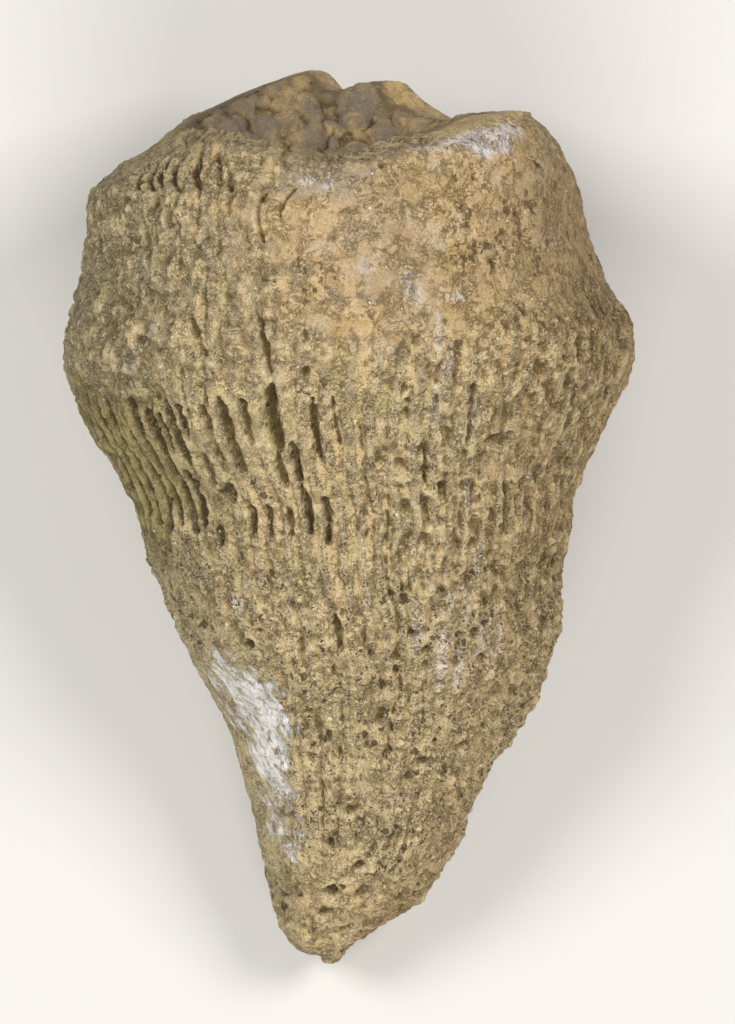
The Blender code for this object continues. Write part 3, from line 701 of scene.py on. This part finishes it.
def colour_marks(skin, relief, knobs, opened):
    """Numbers kept on the skin for the colours to go by."""
    wide = smoothed(smoothed(relief, 14, 14), 10, 10)
    turn = np.radians(skin.turned)
    return {
        "depth": relief - wide,
        "edge": relief - smoothed(relief, 5, 5),
        "opened": opened * skin.wall,
        "inside": skin.cup,
        "blister": knobs * skin.floor,
        "lip": skin.lip,
        "open": (skin.band + skin.eaten) * skin.wall,
        "chalk": white_patch(skin) * skin.wall,
        "pale": patches(skin, PALE_PLACES, 0.35) * skin.wall,
        "slate": patches(skin, SLATE_PLACES, 0.25) * skin.wall,
        "specks": speck_weight(skin) * skin.wall,
        "crusted": skin.crusted * skin.wall,
        "worn": skin.worn * skin.wall,
        "nicked": patches(skin, NICKED_PLACES, 0.5) * skin.wall,
        "ribbed": (1.0 - skin.worn) * (1.0 - skin.tip) * skin.wall,
        "turn_across": np.sin(turn),
        "turn_up": np.cos(turn),
    }


def underneath(skin):
    """Less relief on the flat side that the stone lies on, which is worn plain."""
    return 1.0 - 0.9 * smooth_step(112.0, 145.0, np.abs(skin.angle))


def carve(rings, angle):
    """Moves the plain shape in or out by its relief; gives the points and the marks for colour."""
    skin = Skin(rings, angle)
    ragged = stacked(rings, (0.16, 0.55, 72), (0.08, 0.3, 73))
    cuts = np.minimum(slot_relief(skin, ragged), hole_relief(skin, ragged))
    opened = -cuts
    cuts = np.minimum(cuts, angular_pits(skin, ragged))
    relief = np.minimum(rib_relief(skin), cuts)
    relief += ledge_relief(skin) + crust_relief(skin) + chips(skin) + dishes(skin)
    plain = 1.0 - 0.72 * skin.flank
    plain = plain * (1.0 - 0.35 * smooth_step(68.0, 84.0, np.abs(skin.angle)))
    relief = relief * skin.wall * underneath(skin) * plain
    relief += stone_relief(skin) * (1.0 - 0.7 * skin.floor)
    knobs = blisters(rings)
    relief += BLISTER_HEIGHT * knobs * skin.floor
    _, number = nearest_seeds(rings, 0.75, 59)
    relief += LIP_ROUGHNESS * (number - 0.5) * skin.lip
    relief *= smooth_step(0.0, WORN_HEIGHT, rings[..., 2])
    return rings + outward(rings) * relief[..., None], colour_marks(skin, relief, knobs, opened)


# ---------------------------------------------------------------- mesh making


def placed(name, data):
    """A new object, added to the scene."""
    made = bpy.data.objects.new(name, data)
    bpy.context.scene.collection.objects.link(made)
    return made


def closed_mesh(name, rings, marks):
    """A closed mesh from a grid of rings, with a single point at either end."""
    count, sectors = rings.shape[:2]
    body = rings[1:-1].reshape(-1, 3)
    ends = [rings[end].mean(axis=0, keepdims=True) for end in (0, -1)]
    points = np.concatenate((body, *ends))
    index = np.arange((count - 2) * sectors).reshape(count - 2, sectors)
    across = np.roll(index, -1, axis=1)
    quads = np.stack((index[:-1], across[:-1], across[1:], index[1:]), axis=-1).reshape(-1, 4)
    tip = len(body)
    floor = tip + 1
    tip_fan = np.stack((np.full(sectors, tip), across[0], index[0]), axis=-1)
    floor_fan = np.stack((np.full(sectors, floor), index[-1], across[-1]), axis=-1)
    corners = np.concatenate((quads.ravel(), tip_fan.ravel(), floor_fan.ravel())).astype(np.int32)
    sizes = np.concatenate((np.full(len(quads), 4), np.full(2 * sectors, 3)))
    starts = np.concatenate(((0,), np.cumsum(sizes)[:-1])).astype(np.int32)
    mesh = bpy.data.meshes.new(name)
    mesh.vertices.add(len(points))
    mesh.vertices.foreach_set("co", (points * MM).astype(np.float32).ravel())
    mesh.loops.add(len(corners))
    mesh.loops.foreach_set("vertex_index", corners)
    mesh.polygons.add(len(sizes))
    mesh.polygons.foreach_set("loop_start", starts)
    for mark, field in marks.items():
        values = np.concatenate((field[1:-1].ravel(), (field[0, 0], field[-1, 0])))
        kept = mesh.attributes.new(mark, "FLOAT", "POINT")
        kept.data.foreach_set("value", values.astype(np.float32))
    mesh.update(calc_edges=True)
    mesh.validate()
    return mesh


def thinned(mesh, most):
    """The same shape with at most the given number of triangles, more of them where it turns."""
    trial = placed("trial", mesh)
    thin = trial.modifiers.new("thin", "DECIMATE")
    triangles = sum(len(face.vertices) - 2 for face in mesh.polygons)
    thin.ratio = most / triangles
    bpy.context.view_layer.update()
    graph = bpy.context.evaluated_depsgraph_get()
    result = bpy.data.meshes.new_from_object(trial.evaluated_get(graph))
    bpy.data.objects.remove(trial, do_unlink=True)
    return result


# ---------------------------------------------------------------- materials


def srgb(red, green, blue):
    """A colour given by screen values from 0 to 255, made linear."""
    return tuple(((c / 255.0 + 0.055) / 1.055) ** 2.4 for c in (red, green, blue)) + (1.0,)


# The stone's colours, as screen values; some of them are painted shade and painted highlights.
STONE = {
    "silt": (228, 198, 144), "pale silt": (232, 206, 164), "ochre": (214, 184, 128),
    "groove silt": (232, 203, 150), "olive": (196, 182, 120), "streak": (182, 170, 110),
    "band": (176, 164, 108), "rib grey": (190, 172, 136), "worn tan": (222, 190, 144),
    "worn ochre": (198, 166, 110), "worn brown": (184, 154, 100), "worn cream": (216, 198, 174),
    "crust": (166, 150, 118), "slate": (150, 140, 134), "pale": (238, 230, 228),
    "left side": (136, 132, 98), "right side": (156, 124, 78), "right ribs": (168, 130, 70),
    "left rib olive and painted shade": (112, 96, 46), "painted light on the lower half": (240, 216, 170), "hollow": (128, 102, 44),
    "painted highlight on high ground": (234, 208, 154), "painted shade below an edge": (120, 98, 50), "edge": (246, 224, 178),
    "painted shade in open slots": (78, 62, 26), "painted highlight between slots": (214, 192, 146), "dark grain": (122, 98, 56),
    "light grain": (252, 236, 198), "painted shade between crumbs": (146, 118, 64), "painted highlight on swirls": (240, 220, 176),
    "crease": (112, 90, 46), "speck": (98, 80, 52), "nick": (88, 68, 36),
    "small nick": (106, 84, 50), "crack": (104, 84, 42), "painted shade in deep hollows": (106, 86, 36),
    "painted highlight on rib crowns": (232, 212, 160), "thin chalk": (180, 174, 150), "chalk": (228, 225, 224),
    "dull chalk": (196, 190, 172), "vein": (118, 110, 90), "cup silt": (206, 174, 118),
    "cup grey": (154, 136, 106), "cup brown": (124, 106, 76), "blister": (124, 113, 102),
    "painted shade at blister feet": (70, 58, 38), "cup grain": (82, 70, 50), "cup cream": (196, 176, 136),
    "cup side": (108, 98, 82), "dark lip": (116, 100, 74), "lip": (190, 168, 130),
    "glint": (250, 250, 250),
}
SHADED = (0.70, 0.71, 0.54, 1.0)


SLANT = math.radians(-20.0)


class Paint:
    """Shorthand for the nodes that the stone's colours are mixed from; sizes in millimetres."""

    def __init__(self, material):
        material.use_nodes = True
        self.tree = material.node_tree
        self.shader = self.tree.nodes["Principled BSDF"]
        scale = self.made("VectorMath", operation="SCALE", Scale=1.0 / MM)
        self.feed(scale.inputs[0], self.made("TexCoord").outputs["Object"])
        here = self.here = scale.outputs["Vector"]
        turned = self.made("VectorRotate", rotation_type="Z_AXIS", Vector=here, Angle=SLANT)
        wobble = self.made("TexNoise", Scale=1.0 / 0.35, Detail=2.0, Vector=here).outputs["Color"]
        moved = self.vector("MULTIPLY_ADD", wobble, (0.7, 0.7, 0.7), here)
        self.drawn_out = self.vector("MULTIPLY", here, (1.0, 0.50, 1.0))
        self.slanted = self.vector("MULTIPLY", turned.outputs["Vector"], (1.0, 0.30, 1.0))
        self.ragged = self.vector("MULTIPLY", moved, (1.0, 0.7, 1.0))
        apart = self.made("SeparateXYZ", Vector=here)
        self.aside, self.along = apart.outputs["X"], apart.outputs["Y"]
        self.grain = self.noise(0.13, 3.0, 0.75)
        self.crumb = self.noise(0.42, 4.0, 0.7)

    def feed(self, socket, value):
        """Gives a socket a number, a linear colour, one of the named colours or a link."""
        if isinstance(value, str):
            value = srgb(*STONE[value])
        if isinstance(value, (float, tuple)):
            socket.default_value = value
        else:
            self.tree.links.new(value, socket)

    def made(self, kind, **values):
        """A new node with its named inputs fed and its named settings made."""
        new = self.tree.nodes.new("ShaderNode" + kind)
        for key, value in values.items():
            if key in new.inputs:
                self.feed(new.inputs[key], value)
            else:
                setattr(new, key, value)
        return new

    def worked(self, kind, operation, *values):
        """The outcome of one operation on the values, in their order."""
        new = self.made(kind, operation=operation)
        for socket, value in zip(new.inputs, values):
            self.feed(socket, value)
        return new.outputs[0]

    def maths(self, operation, *values):
        return self.worked("Math", operation, *values)

    def vector(self, operation, *values):
        return self.worked("VectorMath", operation, *values)

    def product(self, *values):
        return reduce(partial(self.maths, "MULTIPLY"), values)

    def total(self, *values):
        return reduce(partial(self.maths, "ADD"), values)

    def most(self, *values):
        return self.maths("MAXIMUM", *values)

    def capped(self, *values):
        """Their product, at most 1."""
        return self.maths("MINIMUM", self.product(*values), 1.0)

    def graded(self, value, slope, start):
        """The start, plus the value times the slope."""
        return self.maths("MULTIPLY_ADD", value, slope, start)

    def noise(self, size, detail=3.0, rough=0.6, where=None, twist=0.0):
        """Cloudy noise with folds of about the given size."""
        values = {"Detail": detail, "Roughness": rough, "Distortion": twist}
        new = self.made("TexNoise", Scale=1.0 / size, Vector=where or self.here, **values)
        return new.outputs["Fac"]

    def cells(self, size):
        """How far away the nearest of scattered points is."""
        return self.made("TexVoronoi", Scale=1.0 / size, Vector=self.here).outputs["Distance"]

    def hollows(self, size, widest):
        """1 inside small ragged hollows of many sizes, the widest given as a share of size."""
        new = self.made("TexVoronoi", Scale=1.0 / size, Vector=self.ragged)
        share = self.made("SeparateColor", Color=new.outputs["Color"]).outputs[0]
        reach = self.graded(share, widest, -0.02)
        return self.ramp(self.maths("SUBTRACT", new.outputs["Distance"], reach), 0.05, -0.05)

    def ramp(self, value, low, high, first=0.0, last=1.0):
        """Goes smoothly from first, where the value is low, to last, where it is high."""
        ends = {"From Min": low, "From Max": high, "To Min": first, "To Max": last}
        new = self.made("MapRange", interpolation_type="SMOOTHSTEP", Value=value, **ends)
        return new.outputs["Result"]

    def line(self, value, width):
        """1 on the thin lines where a noise passes its middle value."""
        off = self.maths("ABSOLUTE", self.maths("SUBTRACT", value, 0.5))
        return self.ramp(off, width, width * 0.2)

    def mark(self, name):
        """One of the numbers kept on the mesh."""
        return self.made("Attribute", attribute_name=name).outputs["Fac"]

    def blend(self, factor, first, second, kind="MIX"):
        new = self.made("Mix", data_type="RGBA", blend_type=kind)
        for socket, value in zip((new.inputs["Factor"], *new.inputs[6:8]), (factor, first, second)):
            self.feed(socket, value)
        return new.outputs[2]

    def coats(self, colour, *layers):
        """The colour with each layer, a share and a colour, laid over it in turn."""
        for share, over in layers:
            colour = self.blend(share, colour, over)
        return colour


def rib_lanes(paint):
    """The number of the rib that a point is on, with the way across it as the fraction."""
    turn = paint.maths("ARCTAN2", paint.mark("turn_across"), paint.mark("turn_up"))
    lane = paint.product(turn, 1.0 / math.radians(GROOVE_STEP))
    waver = paint.product(paint.maths("SUBTRACT", paint.noise(0.4, 3.0, 0.7), 0.5), 0.45)
    return paint.total(lane, waver, 0.5 - FIRST_GROOVE / GROOVE_STEP)


def from_middle(paint, lane):
    """How far across its lane a point is, from -0.5 to 0.5."""
    return paint.maths("SUBTRACT", paint.maths("FRACT", lane), 0.5)


def worn_colour(paint):
    """The mottled colours of the worn face."""
    noise, ramp = paint.noise, paint.ramp
    mottle = ramp(noise(2.2, 4.0, 0.62, None, 0.8), 0.42, 0.58)
    return paint.coats(
        paint.blend(mottle, "worn tan", "worn ochre"),
        (ramp(noise(1.0, 4.0, 0.7, None, 1.0), 0.48, 0.62, 0.0, 0.5), "worn brown"),
        (ramp(noise(3.1, 4.0, 0.65), 0.54, 0.64, 0.0, 0.6), "worn cream"),
    )


def chalk_coat(paint):
    """How thickly the chalky patch covers the stone, and its colour."""
    noise, ramp, product = paint.noise, paint.ramp, paint.product
    patch = paint.mark("chalk")
    fibres = noise(0.7, 4.0, 0.65, paint.slanted)
    torn = ramp(noise(1.8), 0.3, 0.7, -0.30, 0.30)
    chalk = paint.total(patch, ramp(fibres, 0.3, 0.7, -0.45, 0.45), torn)
    chalk = product(ramp(chalk, 0.20, 0.90, 0.0, 0.94), ramp(patch, 0.02, 0.20))
    thin = ramp(noise(0.9, 4.0, 0.7), 0.44, 0.56, 0.10, 0.9)
    chalk = product(chalk, paint.most(thin, ramp(paint.along, -23.0, -19.0)))
    vein = paint.line(noise(1.3, 4.0, 0.6, paint.slanted), 0.020)
    vein = product(vein, ramp(noise(2.0), 0.42, 0.52))
    white = paint.coats(
        paint.blend(ramp(fibres, 0.36, 0.54), "thin chalk", "chalk"),
        (ramp(paint.crumb, 0.46, 0.36, 0.0, 0.4), "dull chalk"),
        (product(vein, 0.85), "vein"),
    )
    return chalk, white


def cup_coat(paint, lip):
    """The colours inside the cup and on its lip."""
    noise, ramp, product = paint.noise, paint.ramp, paint.product
    blister = paint.mark("blister")
    dome = product(ramp(blister, 0.20, 0.46), ramp(noise(2.6, 3.0), 0.42, 0.54, 0.20, 1.0))
    # foot: the ring round each blister's foot, darkened there as painted shade
    foot = product(ramp(blister, 0.0, 0.10), ramp(blister, 0.36, 0.16))
    scales = paint.blend(ramp(paint.crumb, 0.44, 0.58), "dark lip", "lip")
    inner = paint.coats(
        paint.blend(ramp(noise(5.0, 2.0), 0.40, 0.60), "cup silt", "cup grey"),
        (ramp(noise(0.8, 4.0, 0.7), 0.44, 0.60, 0.0, 0.5), "cup brown"),
        (product(dome, 0.9), "blister"),
        (product(foot, 0.75), "painted shade at blister feet"),
        (ramp(paint.grain, 0.48, 0.34, 0.0, 0.6), "cup grain"),
        (ramp(paint.crumb, 0.56, 0.68, 0.0, 0.5), "cup cream"),
        (ramp(paint.aside, 0.0, -9.0, 0.0, 0.40), "cup side"),
        (lip, scales),
    )
    return inner, scales


def coral_stone():
    """Weathered limestone: tan silt, speckled grey-brown ribs, chalky patches and olive painted
    shade in hollows.
    """
    material = bpy.data.materials.new("coral_stone_look")
    paint = Paint(material)
    noise, ramp, mark, product = paint.noise, paint.ramp, paint.mark, paint.product
    grain, crumb, along, drawn_out = paint.grain, paint.crumb, paint.along, paint.drawn_out
    ribbed, worn, inside, lip = mark("ribbed"), mark("worn"), mark("inside"), mark("lip")
    crusted, open_side, across = mark("crusted"), mark("open"), mark("turn_across")
    depth, edge, opened = mark("depth"), mark("edge"), mark("opened")
    outside = paint.maths("SUBTRACT", 1.0, inside)

    lane = rib_lanes(paint)
    strip = from_middle(paint, lane)
    away = paint.maths("ABSOLUTE", strip)
    septum = product(ramp(strip, -0.02, 0.05), ribbed)
    trough = product(ramp(strip, 0.05, -0.02), ribbed)
    groove = ramp(noise(1.6, 2.0, 0.6, drawn_out), 0.46, 0.58)
    groove = product(ramp(away, 0.08, 0.02), ribbed, groove)
    seam = ramp(noise(1.1, 2.0, 0.6, drawn_out), 0.53, 0.63)
    seam = product(ramp(away, 0.44, 0.49), ribbed, seam)
    crack = product(paint.most(groove, seam), ramp(along, -7.0, -2.0, 0.12, 1.0))
    crack = product(crack, paint.graded(crusted, -0.9, 1.0))

    swirl = noise(0.60, 5.0, 0.66, None, 0.7)
    fold = noise(1.7, 5.0, 0.64, None, 0.7)
    crease = product(paint.line(swirl, 0.045), ramp(noise(1.3, 2.0), 0.40, 0.58))
    wide_crease = product(paint.line(fold, 0.020), ramp(noise(2.6, 2.0), 0.44, 0.56))
    crease = product(paint.most(crease, wide_crease), outside)

    squiggle = product(paint.line(noise(0.34, 1.0), 0.045), ramp(noise(0.26, 1.0), 0.47, 0.53))
    dots = product(ramp(paint.cells(0.34), 0.34, 0.22), ramp(noise(0.5, 2.0), 0.47, 0.53))
    thick = product(mark("specks"), ramp(noise(1.9, 3.0), 0.38, 0.58, 0.20, 1.0))
    thick = product(thick, paint.graded(paint.most(septum, product(worn, 0.45)), 1.0, 0.14))
    specks = paint.capped(paint.most(squiggle, dots), thick, 1.8)
    nicks = product(paint.hollows(0.75, 0.42), ramp(noise(3.4, 3.0), 0.44, 0.60, 0.08, 1.0))
    nicks = paint.capped(nicks, mark("specks"), 1.5)
    small_nicks = product(paint.hollows(0.42, 0.55), ramp(noise(1.1, 2.0), 0.38, 0.48))
    small_nicks = paint.capped(small_nicks, mark("nicked"), 1.3)

    olive = ramp(noise(2.4, 4.0, 0.6, drawn_out), 0.48, 0.60, 0.0, 0.70)
    pair = from_middle(paint, product(lane, 0.5))
    streak = ramp(paint.maths("ABSOLUTE", pair), 0.20, 0.06)
    streak = product(streak, ramp(along, -3.0, -9.0), ribbed)
    streak = product(streak, ramp(noise(2.4, 3.0, 0.6, drawn_out), 0.34, 0.48))
    bands = ramp(noise(3.6, 3.0, 0.6, drawn_out), 0.46, 0.60, 0.0, 0.20)
    grey = ramp(noise(1.4, 3.0, 0.6, drawn_out), 0.38, 0.56, 0.35, 0.95)
    # painted light: the lower half, which slopes away from the lamps, painted paler
    lower_painted_light = product(ramp(along, -2.0, -11.0), ramp(along, -28.5, -25.5), 0.32)
    # deep: how far a point lies below its surroundings, with the crumbs' low spots; it sets the
    # painted shade in hollows
    deep = paint.total(depth, paint.graded(crumb, 0.36, -0.18))
    flank = ramp(across, -0.52, -0.66)
    smooth = paint.graded(worn, -0.45, 1.0)
    tan = paint.coats(
        paint.blend(ramp(noise(4.6, 3.0), 0.40, 0.60), "silt", "pale silt"),
        (ramp(noise(1.6, 4.0, 0.6), 0.42, 0.60, 0.0, 0.7), "ochre"),
        (product(trough, 0.6), "groove silt"),
        (product(olive, paint.graded(trough, 0.5, 0.5)), "olive"),
        (product(streak, 0.70), "streak"),
        (product(bands, ramp(along, 0.0, -8.0)), "band"),
        (product(septum, grey), "rib grey"),
        (product(worn, 0.8), worn_colour(paint)),
        (product(crusted, ramp(noise(1.1, 4.0), 0.42, 0.56, 0.10, 0.85)), "crust"),
        (product(mark("slate"), ramp(crumb, 0.38, 0.50)), "slate"),
        (product(paint.capped(mark("pale"), 1.5), ramp(crumb, 0.36, 0.50)), "pale"),
        # the flanks tinted grey-olive on the left and brown on the right, which also darkens them
        # as painted shade where the horn turns away
        (ramp(across, -0.45, -0.90, 0.0, 0.62), "left side"),
        (ramp(across, 0.50, 0.95, 0.0, 0.62), "right side"),
        (product(ramp(across, 0.30, 0.66, 0.0, 0.22), ribbed), "right ribs"),
        # the open band on the left flank darkened to olive, its own olive tint and painted shade
        # together
        (product(ramp(across, -0.48, -0.80, 0.0, 0.75), open_side), "left rib olive and painted shade"),
        (lower_painted_light, "painted light on the lower half"),
        # painted shade: the hollows darkened to olive-brown
        (ramp(deep, -0.07, -0.34, 0.0, 0.62), "hollow"),
        # painted highlight on points that stand above their surroundings
        (ramp(depth, 0.06, 0.30, 0.0, 0.45), "painted highlight on high ground"),
        # painted shade just below small edges, and painted highlight on the edges themselves
        (ramp(edge, -0.02, -0.16, 0.0, 0.30), "painted shade below an edge"),
        (ramp(edge, 0.02, 0.14, 0.0, 0.30), "edge"),
        # painted shade inside the open slots on the left flank, and painted highlight on the stone
        # between them
        (product(ramp(opened, 0.08, 0.36), flank, 0.80), "painted shade in open slots"),
        (product(ramp(opened, 0.08, 0.01), flank, open_side, 0.14), "painted highlight between slots"),
        (product(ramp(grain, 0.48, 0.34, 0.0, 0.80), smooth), "dark grain"),
        (product(ramp(grain, 0.54, 0.68, 0.0, 0.75), smooth), "light grain"),
        # painted shade in the low spots between crumbs
        (ramp(crumb, 0.44, 0.32, 0.0, 0.45), "painted shade between crumbs"),
        # painted highlight on the raised swirls
        (ramp(swirl, 0.54, 0.68, 0.0, 0.35), "painted highlight on swirls"),
        # painted shade in the creases
        (product(crease, 0.70), "crease"),
        (specks, "speck"),
        # painted shade in the small pits
        (product(nicks, 0.90), "nick"),
        (product(small_nicks, 0.80), "small nick"),
        # painted shade in the cracks along the ribs
        (product(crack, 0.50), "crack"),
        # painted shade in the deepest hollows
        (ramp(depth, -0.30, -0.80, 0.0, 0.45), "painted shade in deep hollows"),
        # painted highlight on the crowns of the ribs in the open band
        (product(ramp(depth, 0.05, 0.26), open_side, 0.28), "painted highlight on rib crowns"),
    )
    shaded_side = product(ramp(across, -0.55, -0.88), open_side)
    tan = paint.blend(shaded_side, tan, SHADED, "MULTIPLY")

    chalk, white = chalk_coat(paint)
    inner, scales = cup_coat(paint, lip)
    glint = ramp(noise(2.5, 2.0), 0.54, 0.62)
    glint = product(ramp(paint.cells(0.75), 0.13, 0.09), glint, outside)
    tan = paint.coats(
        tan,
        (chalk, white),
        (product(inside, 0.92), inner),
        (product(lip, 0.75), scales),
        (glint, "glint"),
    )
    dull = paint.maths("SUBTRACT", ramp(glint, 0.0, 1.0, 0.85, 0.25), product(chalk, 0.2))
    heights = (
        (crumb, 0.34), (grain, 0.26), (swirl, 0.28), (crease, -0.10), (specks, -0.12),
        (nicks, -0.26), (small_nicks, -0.20), (crack, -0.14),
    )
    height = paint.total(*(product(field, amount) for field, amount in heights))
    calm = product(paint.graded(inside, -0.15, 1.0), paint.graded(chalk, -0.6, 1.0))
    bump = paint.made("Bump", Strength=1.0, Distance=MM, Height=product(height, calm))
    paint.feed(paint.shader.inputs["Base Color"], tan)
    paint.feed(paint.shader.inputs["Roughness"], dull)
    paint.feed(paint.shader.inputs["Normal"], bump.outputs["Normal"])
    return material


def table_paint():
    """Plain pale table top."""
    material = bpy.data.materials.new("table_paint")
    material.use_nodes = True
    shader = material.node_tree.nodes["Principled BSDF"]
    shader.inputs["Base Color"].default_value = srgb(200, 199, 196)
    shader.inputs["Roughness"].default_value = 0.9
    return material


# ---------------------------------------------------------------- pieces

TABLE_HALF = 0.6
# Soft panels of light: name, place, size, watts, colour. Each is turned to face a point at the
# lit height above the middle of the table. All in metres.
LIGHT_PANELS = (
    ("left_panel", (-0.52, 0.24, 0.78), 0.34, 5.7, (1.0, 0.985, 0.96)),
    ("right_panel", (0.52, 0.24, 0.78), 0.34, 5.8, (1.0, 0.98, 0.95)),
    ("tip_panel", (0.0, -0.55, 0.65), 0.5, 4.5, (1.0, 0.98, 0.95)),
)
LIT_HEIGHT = 0.015
ROOM_COLOUR = (0.86, 0.84, 0.82, 1.0)
ROOM_STRENGTH = 0.28


def make_coral():
    """The whole fossil, with its colours."""
    spread = np.linspace(-math.pi, math.pi, SECTORS, endpoint=False)
    angle = np.degrees(spread - CROWDING * np.sin(spread))
    wall = wall_rings(angle)
    cup = cup_rings(wall[-1], angle)
    points, marks = carve(np.concatenate((wall, cup)), angle)
    points[..., 2] = np.maximum(points[..., 2], 0.0)
    mesh = thinned(closed_mesh("coral", points, marks), MOST_TRIANGLES)
    mesh.name = "coral"
    mesh.materials.clear()
    mesh.materials.append(coral_stone())
    mesh.shade_smooth()
    coral = placed("coral", mesh)
    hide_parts("horn_coral")
    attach(coral, "root")


def make_table():
    """The surface the fossil lies on."""
    mesh = bpy.data.meshes.new("table")
    square = ((-1, -1), (1, -1), (1, 1), (-1, 1))
    corners = [(TABLE_HALF * x, TABLE_HALF * y, 0.0) for x, y in square]
    mesh.from_pydata(corners, [], [range(4)])
    mesh.materials.append(table_paint())
    table = placed("table", mesh)


def soft_light(name, place, size, watts, colour):
    """A soft panel of light that faces the fossil."""
    lamp = bpy.data.lights.new(name, "AREA")
    lamp.size = size
    lamp.energy = watts
    lamp.color = colour
    panel = placed(name, lamp)
    panel.location = place
    across, along, down = np.array((0.0, 0.0, LIT_HEIGHT)) - np.array(place)
    pitch = math.atan2(math.hypot(across, along), -down)
    panel.rotation_euler = (pitch, 0.0, math.atan2(-across, along))


def make_lights():
    """Soft light from both sides and from beyond the tip, in a dim pale room."""
    for panel in LIGHT_PANELS:
        soft_light(*panel)
    world = bpy.data.worlds.new("studio")
    world.use_nodes = True
    background = world.node_tree.nodes["Background"]
    background.inputs["Color"].default_value = ROOM_COLOUR
    background.inputs["Strength"].default_value = ROOM_STRENGTH
    bpy.context.scene.world = world


# The view from above: its longer side and its scale give how much of the table it takes in;
# its middle, and the height at which the scale is true, are in millimetres.
VIEW_LONG_SIDE = 1024
DOTS_PER_MM = 13.4
VIEW_MIDDLE = (1.34, 0.3)
TRUE_HEIGHT = 20.0
CAMERA_AWAY = 2400.0
SENSOR = 36.0


def make_camera():
    """Looks straight down, with the cup at the top of the view."""
    lens = bpy.data.cameras.new("camera")
    lens.sensor_width = SENSOR
    lens.lens = SENSOR * CAMERA_AWAY / (VIEW_LONG_SIDE / DOTS_PER_MM)
    lens.clip_start = 0.01
    camera = placed("camera", lens)
    x, y = VIEW_MIDDLE
    camera.location = (x * MM, y * MM, (TRUE_HEIGHT + CAMERA_AWAY) * MM)
    bpy.context.scene.camera = camera


make_coral()
make_table()
make_lights()
make_camera()
bpy.context.scene.view_settings.view_transform = "Standard"
